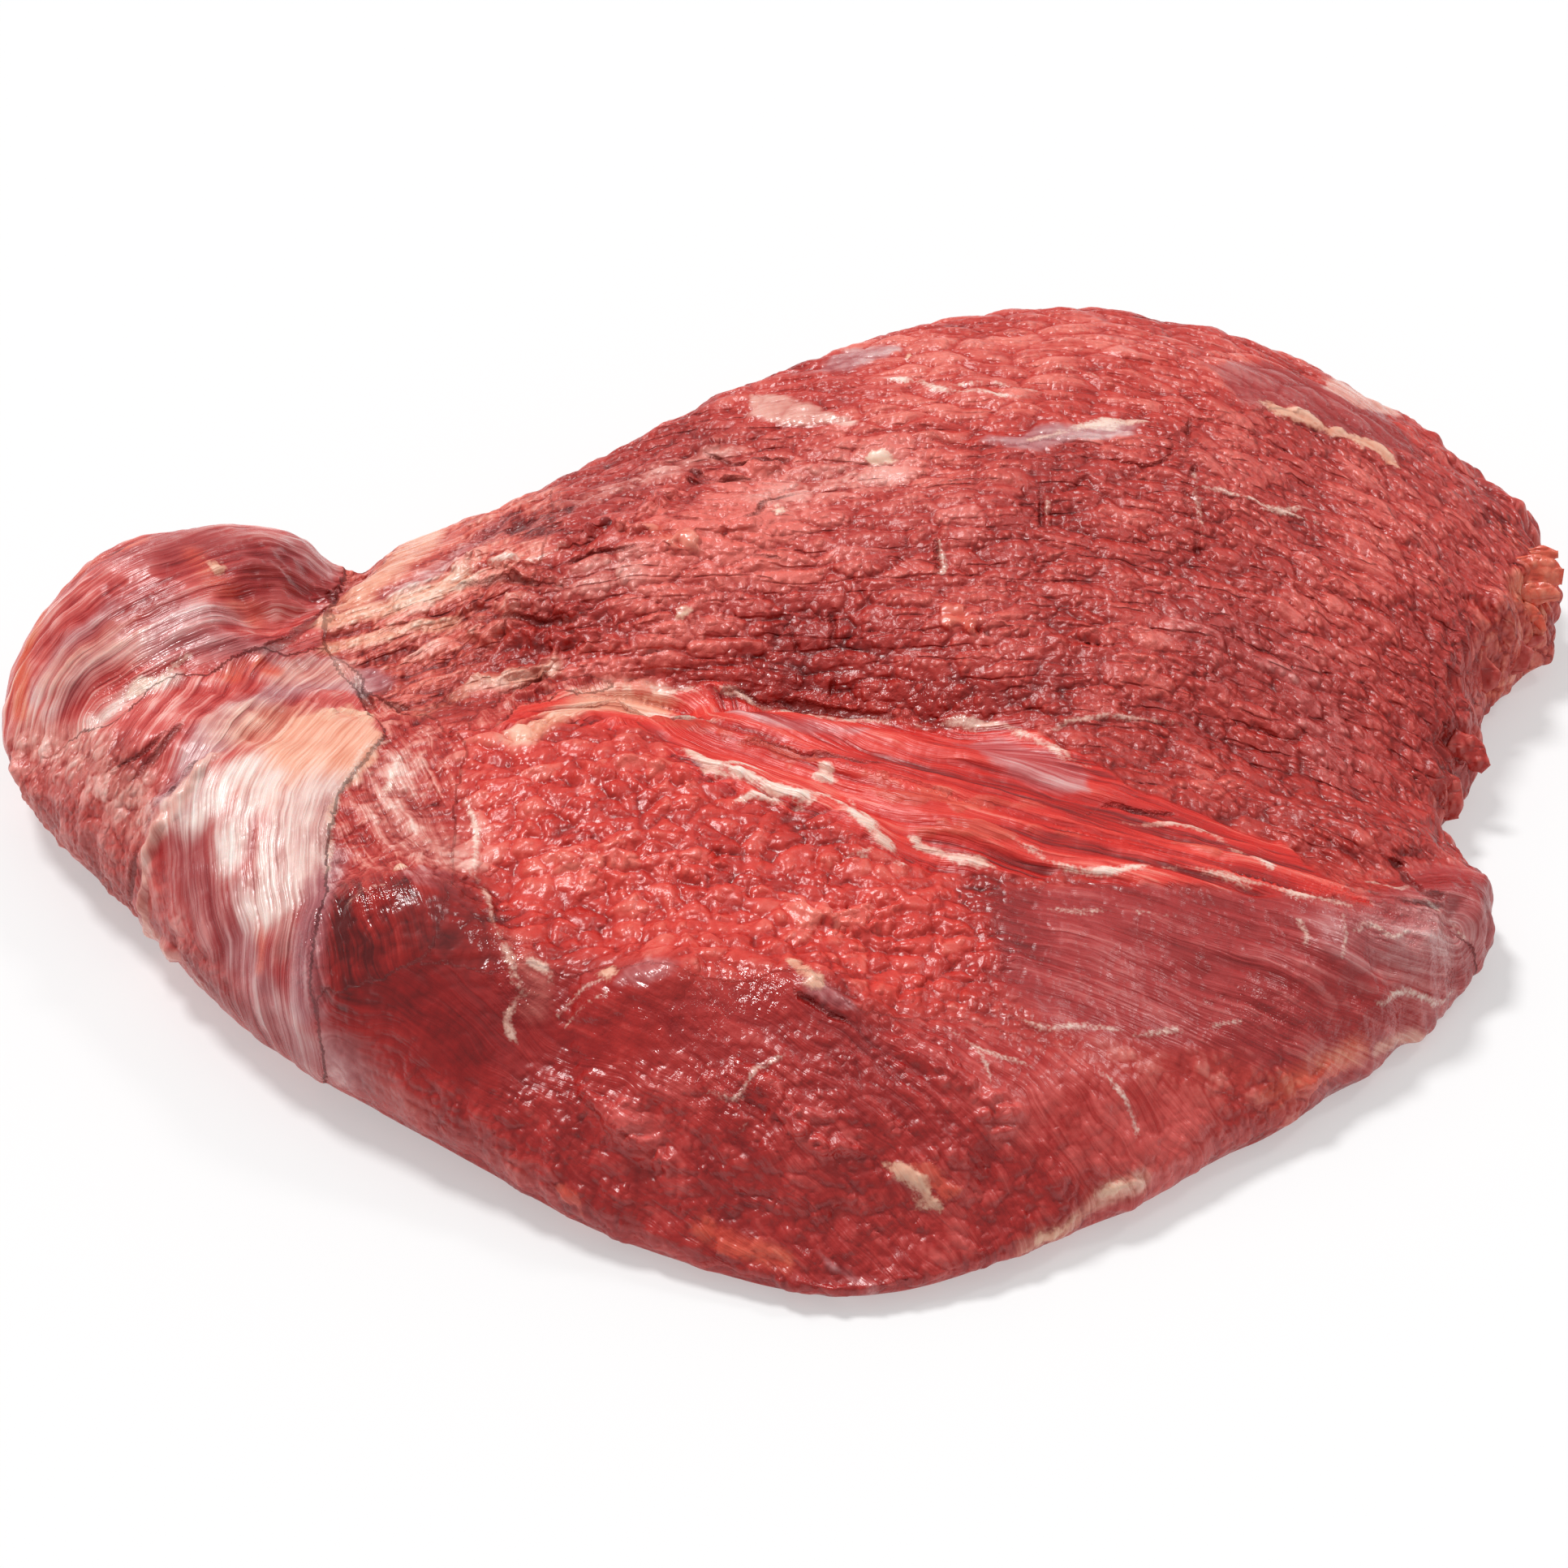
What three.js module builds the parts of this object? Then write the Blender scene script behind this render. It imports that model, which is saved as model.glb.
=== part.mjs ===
// A raw, trimmed beef rib cap: one flat cut of meat that lies on its smooth side.
// Units are millimetres, +Z is up, and the cut rests on Z = 0 with its box centred on the origin.
// +X runs along the length, from the rolled knob at the left to the thin flap at the right,
// and +Y runs from the thin front edge to the thick back muscle.
import * as THREE from "three";
import { ImprovedNoise } from "three/addons/math/ImprovedNoise.js";
import { mergeVertices } from "three/addons/utils/BufferGeometryUtils.js";

// The skin of the cut is a sphere's grid, laid over the meat: its columns fan out from the middle
// to the outline, and its rows run from the top of the middle, over the edge, to the underside.
const COLUMNS = 144;
const TOP_ROWS = 33;
const UNDER_ROWS = 8;
const EDGE_CROWD = 4;
const UNDER_CROWD = 2.9;
const SAMPLES_A_COLUMN = 4;
const MIDDLE = new THREE.Vector2(-17, 9);

// The outline seen from above, anticlockwise from the right tip. Each point has its place, the
// height of the edge's widest line above the table, and the width of the shoulder above it.
const OUTLINE = [
  { at: [178, 93], edge: 11, shoulder: 12 },
  { at: [171, 108], edge: 17, shoulder: 17 },
  { at: [154, 132], edge: 18, shoulder: 20 },
  { at: [131, 150], edge: 20, shoulder: 20 },
  { at: [101, 162], edge: 20, shoulder: 20 },
  { at: [69, 169], edge: 20, shoulder: 20 },
  { at: [39, 162], edge: 20, shoulder: 20 },
  { at: [13, 149], edge: 18, shoulder: 20 },
  { at: [-13, 136], edge: 17, shoulder: 20 },
  { at: [-40, 121], edge: 15, shoulder: 18 },
  { at: [-63, 109], edge: 13, shoulder: 17 },
  { at: [-85, 98], edge: 11, shoulder: 14 },
  { at: [-95, 87], edge: 11, shoulder: 10 },
  { at: [-98, 79], edge: 11, shoulder: 7.5 },
  { at: [-105, 84], edge: 15, shoulder: 12 },
  { at: [-120, 84], edge: 18, shoulder: 18 },
  { at: [-140, 78], edge: 20, shoulder: 24 },
  { at: [-159, 70], edge: 20, shoulder: 24 },
  { at: [-170, 48], edge: 18, shoulder: 24 },
  { at: [-170, 24], edge: 18, shoulder: 24 },
  { at: [-160, 2], edge: 17, shoulder: 24 },
  { at: [-139, -25], edge: 17, shoulder: 24 },
  { at: [-109, -66], edge: 17, shoulder: 24 },
  { at: [-62, -102], edge: 13, shoulder: 20 },
  { at: [-29, -122], edge: 7.5, shoulder: 17 },
  { at: [13, -135], edge: 6.5, shoulder: 18 },
  { at: [53, -120], edge: 7.5, shoulder: 20 },
  { at: [90, -94], edge: 7.5, shoulder: 20 },
  { at: [123, -65], edge: 6.5, shoulder: 18 },
  { at: [143, -40], edge: 6.5, shoulder: 15 },
  { at: [145, -16], edge: 6.5, shoulder: 13 },
  { at: [136, 1], edge: 8.5, shoulder: 7.5 },
  { at: [147, 15], edge: 8.5, shoulder: 10 },
  { at: [154, 48], edge: 7.5, shoulder: 10 },
  { at: [166, 62], edge: 7.5, shoulder: 8.5 },
  { at: [176, 79], edge: 8.5, shoulder: 9 },
];

// The muscles, as domes seen from above: the top of each, its half length and half width, the turn
// of its length from +X in degrees, its height, and how far it drops to its half-width line.
const MUSCLES = [
  { name: "back", at: [53, 103], reach: [89, 90], turn: 0, height: 56, drop: 17 },
  { name: "back shoulder", at: [-18, 63], reach: [57, 41], turn: 20, height: 51, drop: 13 },
  { name: "neck", at: [-77, 48], reach: [39, 37], turn: 20, height: 38, drop: 9 },
  { name: "knob", at: [-132, 51], reach: [39, 37], turn: 0, height: 50, drop: 17 },
  { name: "knob lobe", at: [-109, 68], reach: [17, 15], turn: 0, height: 39, drop: 9 },
  { name: "upper roll", at: [-110, -13], reach: [40, 37], turn: -45, height: 43, drop: 10 },
  { name: "lower roll", at: [-75, -61], reach: [44, 31], turn: -40, height: 41, drop: 12 },
  { name: "front", at: [-17, -35], reach: [74, 48], turn: -14, height: 46, drop: 11 },
  { name: "front foot", at: [0, -86], reach: [66, 33], turn: -6, height: 38, drop: 17 },
  { name: "right slab", at: [66, -48], reach: [75, 40], turn: 8, height: 35, drop: 14 },
  { name: "right flap", at: [123, -39], reach: [35, 33], turn: 0, height: 22, drop: 8.5 },
  { name: "strands", at: [33, -6], reach: [90, 24], turn: -12, height: 35, drop: 7.5 },
];
const MUSCLE_BLEND = 3.2;

// Small lumps and hollows on top of the muscles: a negative rise is a hollow.
const LUMPS = [
  { name: "bulge", at: [-74, -63], reach: [16, 12], turn: -25, rise: 4 },
  { name: "hump", at: [-26, -85], reach: [12, 8], turn: 15, rise: 4.5 },
  { name: "brow flap", at: [8, -87], reach: [13, 7], turn: -20, rise: 3 },
  { name: "hollow under the bulge", at: [-49, -93], reach: [17, 9], turn: -20, rise: -4.5 },
  { name: "hollow by the roll", at: [-88, -48], reach: [7, 15], turn: -30, rise: -3 },
  { name: "pit in the neck", at: [-89, 11], reach: [7, 6], turn: 0, rise: -4.5 },
  { name: "pit in the front", at: [0, -51], reach: [12, 8], turn: 0, rise: -2.5 },
];

// Long folds, each along a path: a negative rise is a furrow. They fade out at both ends.
const FOLDS = [
  { name: "knob crease", path: [[-97, 85], [-101, 63], [-109, 44], [-123, 33]], width: 5.5, rise: -10 },
  { name: "seam furrow", path: [[-48, 18], [-18, 11], [6, 13], [35, 6], [61, -6]], width: 8.5, rise: -5.5 },
  { name: "first strand", path: [[-28, 7], [-1, 0], [19, -4], [44, -13], [74, -18]], width: 4.5, rise: 2.5 },
  { name: "fat furrow", path: [[-28, -6], [-11, -15], [7, -24], [24, -40], [39, -59]], width: 4.5, rise: -3 },
  { name: "second strand", path: [[0, -15], [22, -21], [47, -26], [77, -33]], width: 4.5, rise: 2 },
  { name: "third strand", path: [[25, -37], [47, -37], [71, -42], [99, -48]], width: 4.5, rise: 2 },
  { name: "right furrow", path: [[85, -18], [110, -31], [127, -31], [145, -17]], width: 6.5, rise: -4.5 },
  { name: "roll flap", path: [[-109, -6], [-122, -17], [-130, -24], [-132, -44]], width: 4.5, rise: 3 },
  { name: "roll crease", path: [[-99, 4], [-114, -9], [-131, -17], [-147, -20]], width: 5.5, rise: -3.5 },
  { name: "front brow", path: [[-61, -68], [-40, -77], [-11, -79], [18, -88]], width: 8.5, rise: 2 },
  { name: "upper back fold", path: [[-40, 68], [-12, 73], [18, 77], [55, 75]], width: 7.5, rise: -2 },
];
const FADE = 0.2;
const PATH_STEPS = 48;

// The uneven surface: broad swells, then crags, both in millimetres.
const SWELL = { size: 42, height: 3, seed: 3.7 };
const CRAG = { size: 16, height: 1.2, seed: 11.3 };
// The cut edge is ragged, most of all at the thin right side.
const RAGGED = { size: 14, least: 0.6, most: 3, from: 55, to: 145 };
// The underside turns in below the edge by this share of the edge's height.
const UNDERCUT = 0.9;

const MEAT_RED = new THREE.Color(0.42, 0.075, 0.06);

const noise = new ImprovedNoise();

function clamp01(value) {
  return Math.min(1, Math.max(0, value));
}

// The edge line as closely spaced samples, evenly spaced by length.
function edgeSamples(count) {
  const line = new THREE.CatmullRomCurve3(
    OUTLINE.map((p) => new THREE.Vector3(p.at[0], p.at[1], p.edge)),
    true,
    "catmullrom",
    0.5,
  );
  const shoulders = new THREE.CatmullRomCurve3(
    OUTLINE.map((p) => new THREE.Vector3(p.shoulder, 0, 0)),
    true,
    "catmullrom",
    0.5,
  );
  const samples = [];
  for (let i = 0; i < count; i += 1) {
    const share = line.getUtoTmapping(i / count);
    const place = line.getPoint(share);
    const ragged = THREE.MathUtils.lerp(
      RAGGED.least,
      RAGGED.most,
      clamp01((place.x - RAGGED.from) / (RAGGED.to - RAGGED.from)),
    );
    const out = new THREE.Vector2(place.x, place.y).sub(MIDDLE).normalize();
    const push = ragged * noise.noise(place.x / RAGGED.size, place.y / RAGGED.size, 0.5);
    samples.push({
      x: place.x + out.x * push,
      y: place.y + out.y * push,
      edge: place.z,
      shoulder: shoulders.getPoint(share).x,
    });
  }
  return samples;
}

const EDGE = edgeSamples(COLUMNS * SAMPLES_A_COLUMN);

// The edge sample that a point is nearest to, when each distance is counted in that sample's own
// widths. Its share is 0 at the edge and 1 where the rounding ends.
function nearestEdge(x, y, widthOf) {
  let best = EDGE[0];
  let share = Infinity;
  for (const sample of EDGE) {
    const away = Math.hypot(sample.x - x, sample.y - y) / widthOf(sample);
    if (away < share) {
      share = away;
      best = sample;
    }
  }
  return { share, sample: best };
}

// A point's place within a turned ellipse: 1 is on its edge, along its length and across it.
function within(x, y, { at, reach, turn }) {
  const angle = THREE.MathUtils.degToRad(turn);
  const dx = x - at[0];
  const dy = y - at[1];
  return [
    (dx * Math.cos(angle) + dy * Math.sin(angle)) / reach[0],
    (dy * Math.cos(angle) - dx * Math.sin(angle)) / reach[1],
  ];
}

function muscleHeight(x, y, muscle) {
  const [along, across] = within(x, y, muscle);
  return muscle.height - muscle.drop * (along * along + across * across);
}

function lumpRise(x, y, lump) {
  const [along, across] = within(x, y, lump);
  return lump.rise * Math.exp(-(along * along + across * across));
}

// Fold paths as points, closely spaced, from one end to the other.
const FOLD_LINES = FOLDS.map((fold) => ({
  ...fold,
  points: new THREE.SplineCurve(fold.path.map((p) => new THREE.Vector2(...p))).getPoints(PATH_STEPS),
}));

function foldRise(x, y, fold) {
  let least = Infinity;
  let share = 0;
  fold.points.forEach((point, i) => {
    const away = Math.hypot(point.x - x, point.y - y);
    if (away < least) {
      least = away;
      share = i / PATH_STEPS;
    }
  });
  const fade = clamp01(share / FADE) * clamp01((1 - share) / FADE);
  return fold.rise * fade * Math.exp(-((least / fold.width) ** 2));
}

// Height of the top of the meat, without the rounding at its edge.
function topHeight(x, y) {
  const lifted = MUSCLES.map((muscle) => Math.exp(muscleHeight(x, y, muscle) / MUSCLE_BLEND));
  const height = MUSCLE_BLEND * Math.log(lifted.reduce((sum, value) => sum + value, 0));
  const lumps = LUMPS.reduce((sum, lump) => sum + lumpRise(x, y, lump), 0);
  const folds = FOLD_LINES.reduce((sum, fold) => sum + foldRise(x, y, fold), 0);
  const swell = SWELL.height * noise.noise(x / SWELL.size, y / SWELL.size, SWELL.seed);
  const crag = CRAG.height * noise.noise(x / CRAG.size, y / CRAG.size, CRAG.seed);
  return height + lumps + folds + swell + crag;
}

// A quarter circle's rise, from 0 at the edge to 1 at the end of its width.
function arcRise(share) {
  const left = 1 - clamp01(share);
  return Math.sqrt(1 - left * left);
}

// How far out from the middle a row lies, as a share, with rows closer together at the edge.
function topReach(rowsFromEdge) {
  const spread = (rows) => (rows * rows) / (rows + EDGE_CROWD);
  return 1 - spread(rowsFromEdge) / spread(TOP_ROWS);
}

function underReach(rowsFromEdge) {
  return 1 - (rowsFromEdge / UNDER_ROWS) ** UNDER_CROWD;
}

function meatPoint(column, row) {
  const rim = EDGE[column * SAMPLES_A_COLUMN];
  const onTop = row <= TOP_ROWS;
  const reach = onTop ? topReach(TOP_ROWS - row) : underReach(row - TOP_ROWS);
  const x = THREE.MathUtils.lerp(MIDDLE.x, rim.x, reach);
  const y = THREE.MathUtils.lerp(MIDDLE.y, rim.y, reach);
  if (reach === 1) return new THREE.Vector3(x, y, rim.edge);
  if (onTop) {
    const { share, sample } = nearestEdge(x, y, (near) => near.shoulder);
    const rise = arcRise(share);
    return new THREE.Vector3(x, y, sample.edge + (topHeight(x, y) - sample.edge) * rise);
  }
  const { share, sample } = nearestEdge(x, y, (near) => near.edge * UNDERCUT);
  return new THREE.Vector3(x, y, sample.edge * (1 - arcRise(share)));
}

function ribCapGeometry() {
  const rows = TOP_ROWS + UNDER_ROWS;
  const grid = new THREE.SphereGeometry(1, COLUMNS, rows);
  const place = grid.getAttribute("position");
  const share = grid.getAttribute("uv");
  for (let i = 0; i < place.count; i += 1) {
    const row = Math.round((1 - share.getY(i)) * rows);
    // At the two poles the columns are half a step off, which is why one can round to -1.
    const column = (Math.round(share.getX(i) * COLUMNS) + COLUMNS) % COLUMNS;
    const point = meatPoint(column, row);
    place.setXYZ(i, point.x, point.y, point.z);
  }
  grid.deleteAttribute("normal");
  grid.deleteAttribute("uv");
  const closed = mergeVertices(grid, 1e-3);
  closed.computeBoundingBox();
  const centre = closed.boundingBox.getCenter(new THREE.Vector3());
  closed.translate(-centre.x, -centre.y, -closed.boundingBox.min.z);
  closed.computeVertexNormals();
  return closed;
}

const cut = new THREE.Group();
const meat = new THREE.Mesh(
  ribCapGeometry(),
  new THREE.MeshStandardMaterial({ color: MEAT_RED, roughness: 0.4, metalness: 0 }),
);
meat.name = "rib_cap";
cut.add(meat);

export default cut;
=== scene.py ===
# %% [markdown]
# # A raw beef rib cap
# A rib cap is the flat, fan-shaped group of muscles that lies over a beef rib. Trimmed and laid
# down, it shows a coarse grained back muscle, a softer granular front muscle, a seam of fibres and
# fat between them, and at the left a roll and a knob wrapped in silverskin.
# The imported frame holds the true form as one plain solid. This lesson gives it a fine skin, the
# relief of the muscle, its fat and membranes, and a moist finish.

import itertools
import math

import bmesh
import bpy
import numpy as np
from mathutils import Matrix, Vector
from mathutils.bvhtree import BVHTree


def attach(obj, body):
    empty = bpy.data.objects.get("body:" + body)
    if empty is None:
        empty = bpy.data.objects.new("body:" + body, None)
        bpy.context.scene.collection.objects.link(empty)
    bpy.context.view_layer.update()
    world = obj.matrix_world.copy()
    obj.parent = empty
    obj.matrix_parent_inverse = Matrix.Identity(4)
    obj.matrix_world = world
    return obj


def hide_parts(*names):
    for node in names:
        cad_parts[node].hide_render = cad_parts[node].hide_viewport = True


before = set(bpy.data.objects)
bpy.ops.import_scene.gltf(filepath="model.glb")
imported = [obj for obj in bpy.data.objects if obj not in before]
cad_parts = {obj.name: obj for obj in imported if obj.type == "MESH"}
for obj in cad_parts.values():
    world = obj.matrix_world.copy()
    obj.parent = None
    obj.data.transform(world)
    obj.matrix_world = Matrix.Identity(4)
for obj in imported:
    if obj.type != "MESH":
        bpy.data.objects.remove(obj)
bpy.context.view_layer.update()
MM = 0.001

# %% [markdown]
# ## The camera
# The camera comes first, because many marks on the meat are placed by where they show in the
# photograph. A long lens from a fair distance gives the flat look of a product shot. Looking down
# at about 37 degrees fits the outline best: a steeper view would make the cut look deeper.

# %% The camera
PHOTO_SIZE = 1932
LENS = 100.0
SENSOR = 36.0
LOOK_AT = Vector((-3.7, -16.5, 23.0)) * MM
CAMERA_DISTANCE = 0.92
LOOK_DOWN = math.radians(37)

camera_data = bpy.data.cameras.new("photo_camera")
camera_data.lens = LENS
camera_data.sensor_width = SENSOR
camera = bpy.data.objects.new("photo_camera", camera_data)
bpy.context.collection.objects.link(camera)
bpy.context.scene.camera = camera
toward_camera = Vector((0, -math.cos(LOOK_DOWN), math.sin(LOOK_DOWN)))
picture_right = Vector((1, 0, 0))
picture_up = Vector((0, math.sin(LOOK_DOWN), math.cos(LOOK_DOWN)))
camera.location = LOOK_AT + CAMERA_DISTANCE * toward_camera
camera.rotation_euler = (math.pi / 2 - LOOK_DOWN, 0, 0)
print("camera at", tuple(round(place, 3) for place in camera.location))

# %% [markdown]
# ## A fine skin
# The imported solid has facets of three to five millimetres. Muscle grain is finer, so the solid is
# copied, welded, and given an even skin by a voxel remesh. A subdivision surface would follow the
# solid's long thin triangles, and the remesh gives small even ones instead. Smoothing then takes
# the facets out, and the form stays the frame's. The flat underside needs no fine skin: it is cut
# off just above the table and closed again with one plain face.

# %% Copy, weld and remesh the solid
WELD = 1e-5
SKIN_STEP = 0.66 * MM
SMOOTH_ROUNDS = 26
REST_CUT = 0.7 * MM


def keep_modifiers(piece):
    """Replaces a piece's mesh by what its modifiers make of it."""
    made = bpy.data.meshes.new_from_object(piece.evaluated_get(bpy.context.evaluated_depsgraph_get()))
    plain = piece.data
    piece.modifiers.clear()
    piece.data = made
    bpy.data.meshes.remove(plain)


def new_piece(name, work):
    """Makes an object at the origin out of a bmesh, and frees the bmesh."""
    mesh = bpy.data.meshes.new(name)
    work.to_mesh(mesh)
    work.free()
    piece = bpy.data.objects.new(name, mesh)
    bpy.context.collection.objects.link(piece)
    return piece


def cut_and_close(work, place, facing):
    """Cuts off what lies past a plane, closes the cut with a flat face, and returns its rim."""
    everything = [*work.verts, *work.edges, *work.faces]
    cut = bmesh.ops.bisect_plane(
        work, geom=everything, plane_co=place, plane_no=facing, clear_outer=True, dist=1e-8
    )
    rim = [part for part in cut["geom_cut"] if isinstance(part, bmesh.types.BMEdge)]
    bmesh.ops.triangle_fill(work, edges=rim, use_beauty=True, normal=facing)
    for edge in rim:
        edge.smooth = False
    return rim


work = bmesh.new()
work.from_mesh(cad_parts["rib_cap"].data)
bmesh.ops.remove_doubles(work, verts=work.verts, dist=WELD)
meat = new_piece("meat_body", work)
remesh = meat.modifiers.new("fine skin", "REMESH")
remesh.mode = "VOXEL"
remesh.voxel_size = SKIN_STEP
soften = meat.modifiers.new("no facets", "SMOOTH")
soften.factor = 0.5
soften.iterations = SMOOTH_ROUNDS
keep_modifiers(meat)

work = bmesh.new()
work.from_mesh(meat.data)
rim = cut_and_close(work, (0, 0, REST_CUT), (0, 0, -1))
for vert in {vert for edge in rim for vert in edge.verts}:
    vert.co.z = 0
work.to_mesh(meat.data)
work.free()
print("fine skin:", len(meat.data.vertices), "points")

# %% [markdown]
# ## From a place in the photograph to a place on the meat
# A mark is named by the pixels that it covers. A ray from the camera through such a pixel meets
# the skin at a true place in millimetres, and from there on all widths and distances are real
# ones, so that no mark is stretched when the meat is seen from another side.

# %% Rays from the camera
FOCAL_PIXELS = LENS / SENSOR * PHOTO_SIZE
BESIDE_LEVEL = 12 * MM
TRAIL_STEP = 0.4
CURVE_STEPS = 8

skin_tree = BVHTree.FromObject(meat, bpy.context.evaluated_depsgraph_get())


def ray_through(pixel):
    """The way from the camera through a pixel, to where it is one unit deep."""
    across = (pixel[0] - PHOTO_SIZE / 2) / FOCAL_PIXELS
    above = (PHOTO_SIZE / 2 - pixel[1]) / FOCAL_PIXELS
    return picture_right * across + picture_up * above - toward_camera


def on_meat(pixel):
    """The place on the skin behind a pixel, or beside the meat at the level of its edge."""
    ray = ray_through(pixel).normalized()
    hit = skin_tree.ray_cast(camera.location, ray)[0]
    if hit is None:
        hit = camera.location + ray * ((BESIDE_LEVEL - camera.location.z) / ray.z)
    return hit


def curve_through(corners):
    """Points on a smooth curve (Catmull-Rom) through the corners."""
    ends = np.array([corners[0], *corners, corners[-1]], dtype=float)
    step = np.linspace(0, 1, CURVE_STEPS, endpoint=False)[:, None]
    runs = []
    for a, b, c, d in zip(ends, ends[1:], ends[2:], ends[3:]):
        bend = 2 * a - 5 * b + 4 * c - d + step * (3 * b - a + d - 3 * c)
        runs.append(b + 0.5 * step * (c - a + step * bend))
    return np.vstack([*runs, ends[-1:]])


def trail(pixels):
    """Closely spaced places on the skin, in millimetres, along a curve through the pixels."""
    rough = np.array([on_meat(pixel) for pixel in curve_through(pixels)]) / MM
    length = np.r_[0, np.cumsum(np.linalg.norm(np.diff(rough, axis=0), axis=1))]
    share = np.linspace(0, 1, int(length[-1] / TRAIL_STEP) + 2)
    return np.column_stack([np.interp(share * length[-1], length, axis) for axis in rough.T])


count = len(meat.data.vertices)
points = np.empty(count * 3)
meat.data.vertices.foreach_get("co", points)
points = points.reshape(-1, 3) / MM
normals = np.array([vertex.normal for vertex in meat.data.vertices])
print("the middle pixel lies at", [round(place / MM) for place in on_meat((966, 966))], "mm")

# %% [markdown]
# ## Noise to break up every edge
# Meat has no straight lines. Two helpers give fixed, repeatable unevenness: smooth noise for
# swells and wavering borders, and scattered cells, whose borders look like the clefts between
# bundles of muscle. They are worked out from whole numbers, so each run gives the same meat.

# %% Noise and cells
AXIS_FACTORS = np.array([73856093, 19349663, 83492791])
SEED_FACTOR = 97531
STIRS = ((15, 2246822519), (13, 3266489917))
LOW_32_BITS = 0xFFFFFFFF
LOW_24_BITS = 0xFFFFFF


def lattice(cell, seed):
    """A fixed number from -1 to 1 for each whole-numbered cell, by stirring the bits of its place."""
    mixed = np.bitwise_xor.reduce(cell * AXIS_FACTORS, axis=1) ^ (seed * SEED_FACTOR)
    for shift, factor in STIRS:
        mixed = ((mixed ^ (mixed >> shift)) * factor) & LOW_32_BITS
    return ((mixed ^ (mixed >> 16)) & LOW_24_BITS) / (LOW_24_BITS >> 1) - 1


def noise(places, size, seed=0):
    """Smooth noise from -1 to 1; size is a swell's width, one number or one for each axis."""
    scaled = places / size
    low = np.floor(scaled).astype(np.int64)
    inside = scaled - low
    ease = inside * inside * (3 - 2 * inside)
    total = np.zeros(len(places))
    for corner in itertools.product((False, True), repeat=3):
        share = np.prod(np.where(corner, ease, 1 - ease), axis=1)
        total += share * lattice(low + np.array(corner), seed)
    return total


def cells(places, size, seed=0, jitter=0.42):
    """How far the nearest two of scattered centres are, in cell widths, and a number for the nearest."""
    scaled = places / size
    low = np.floor(scaled).astype(np.int64)
    nearest = np.full(len(places), 9.0)
    second = nearest.copy()
    number = nearest.copy()
    for step in itertools.product((-1, 0, 1), repeat=3):
        cell = low + np.array(step)
        push = np.column_stack([lattice(cell, seed + axis) for axis in range(3)])
        away = np.linalg.norm(scaled - cell - 0.5 - jitter * push, axis=1)
        closer = away < nearest
        second = np.where(closer, nearest, np.minimum(second, away))
        number = np.where(closer, push[:, 0], number)
        nearest = np.where(closer, away, nearest)
    return nearest, second, number


def soft_step(value, low, high):
    """0 below low, 1 above high, and an even slope between."""
    share = np.clip((value - low) / (high - low), 0, 1)
    return share * share * (3 - 2 * share)


WAVER = np.column_stack([noise(points, 7, seed) for seed in (1, 2, 3)])
wavering = points + 1.6 * WAVER
print("noise runs from", round(WAVER.min(), 2), "to", round(WAVER.max(), 2))

# %% [markdown]
# ## The regions
# Each muscle has its own look. A region is an outline in the photograph, carried onto the meat and
# read from above, so that it takes in the side of the meat too. Its border wavers and fades over a
# few millimetres, as one muscle runs into the next.

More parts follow.
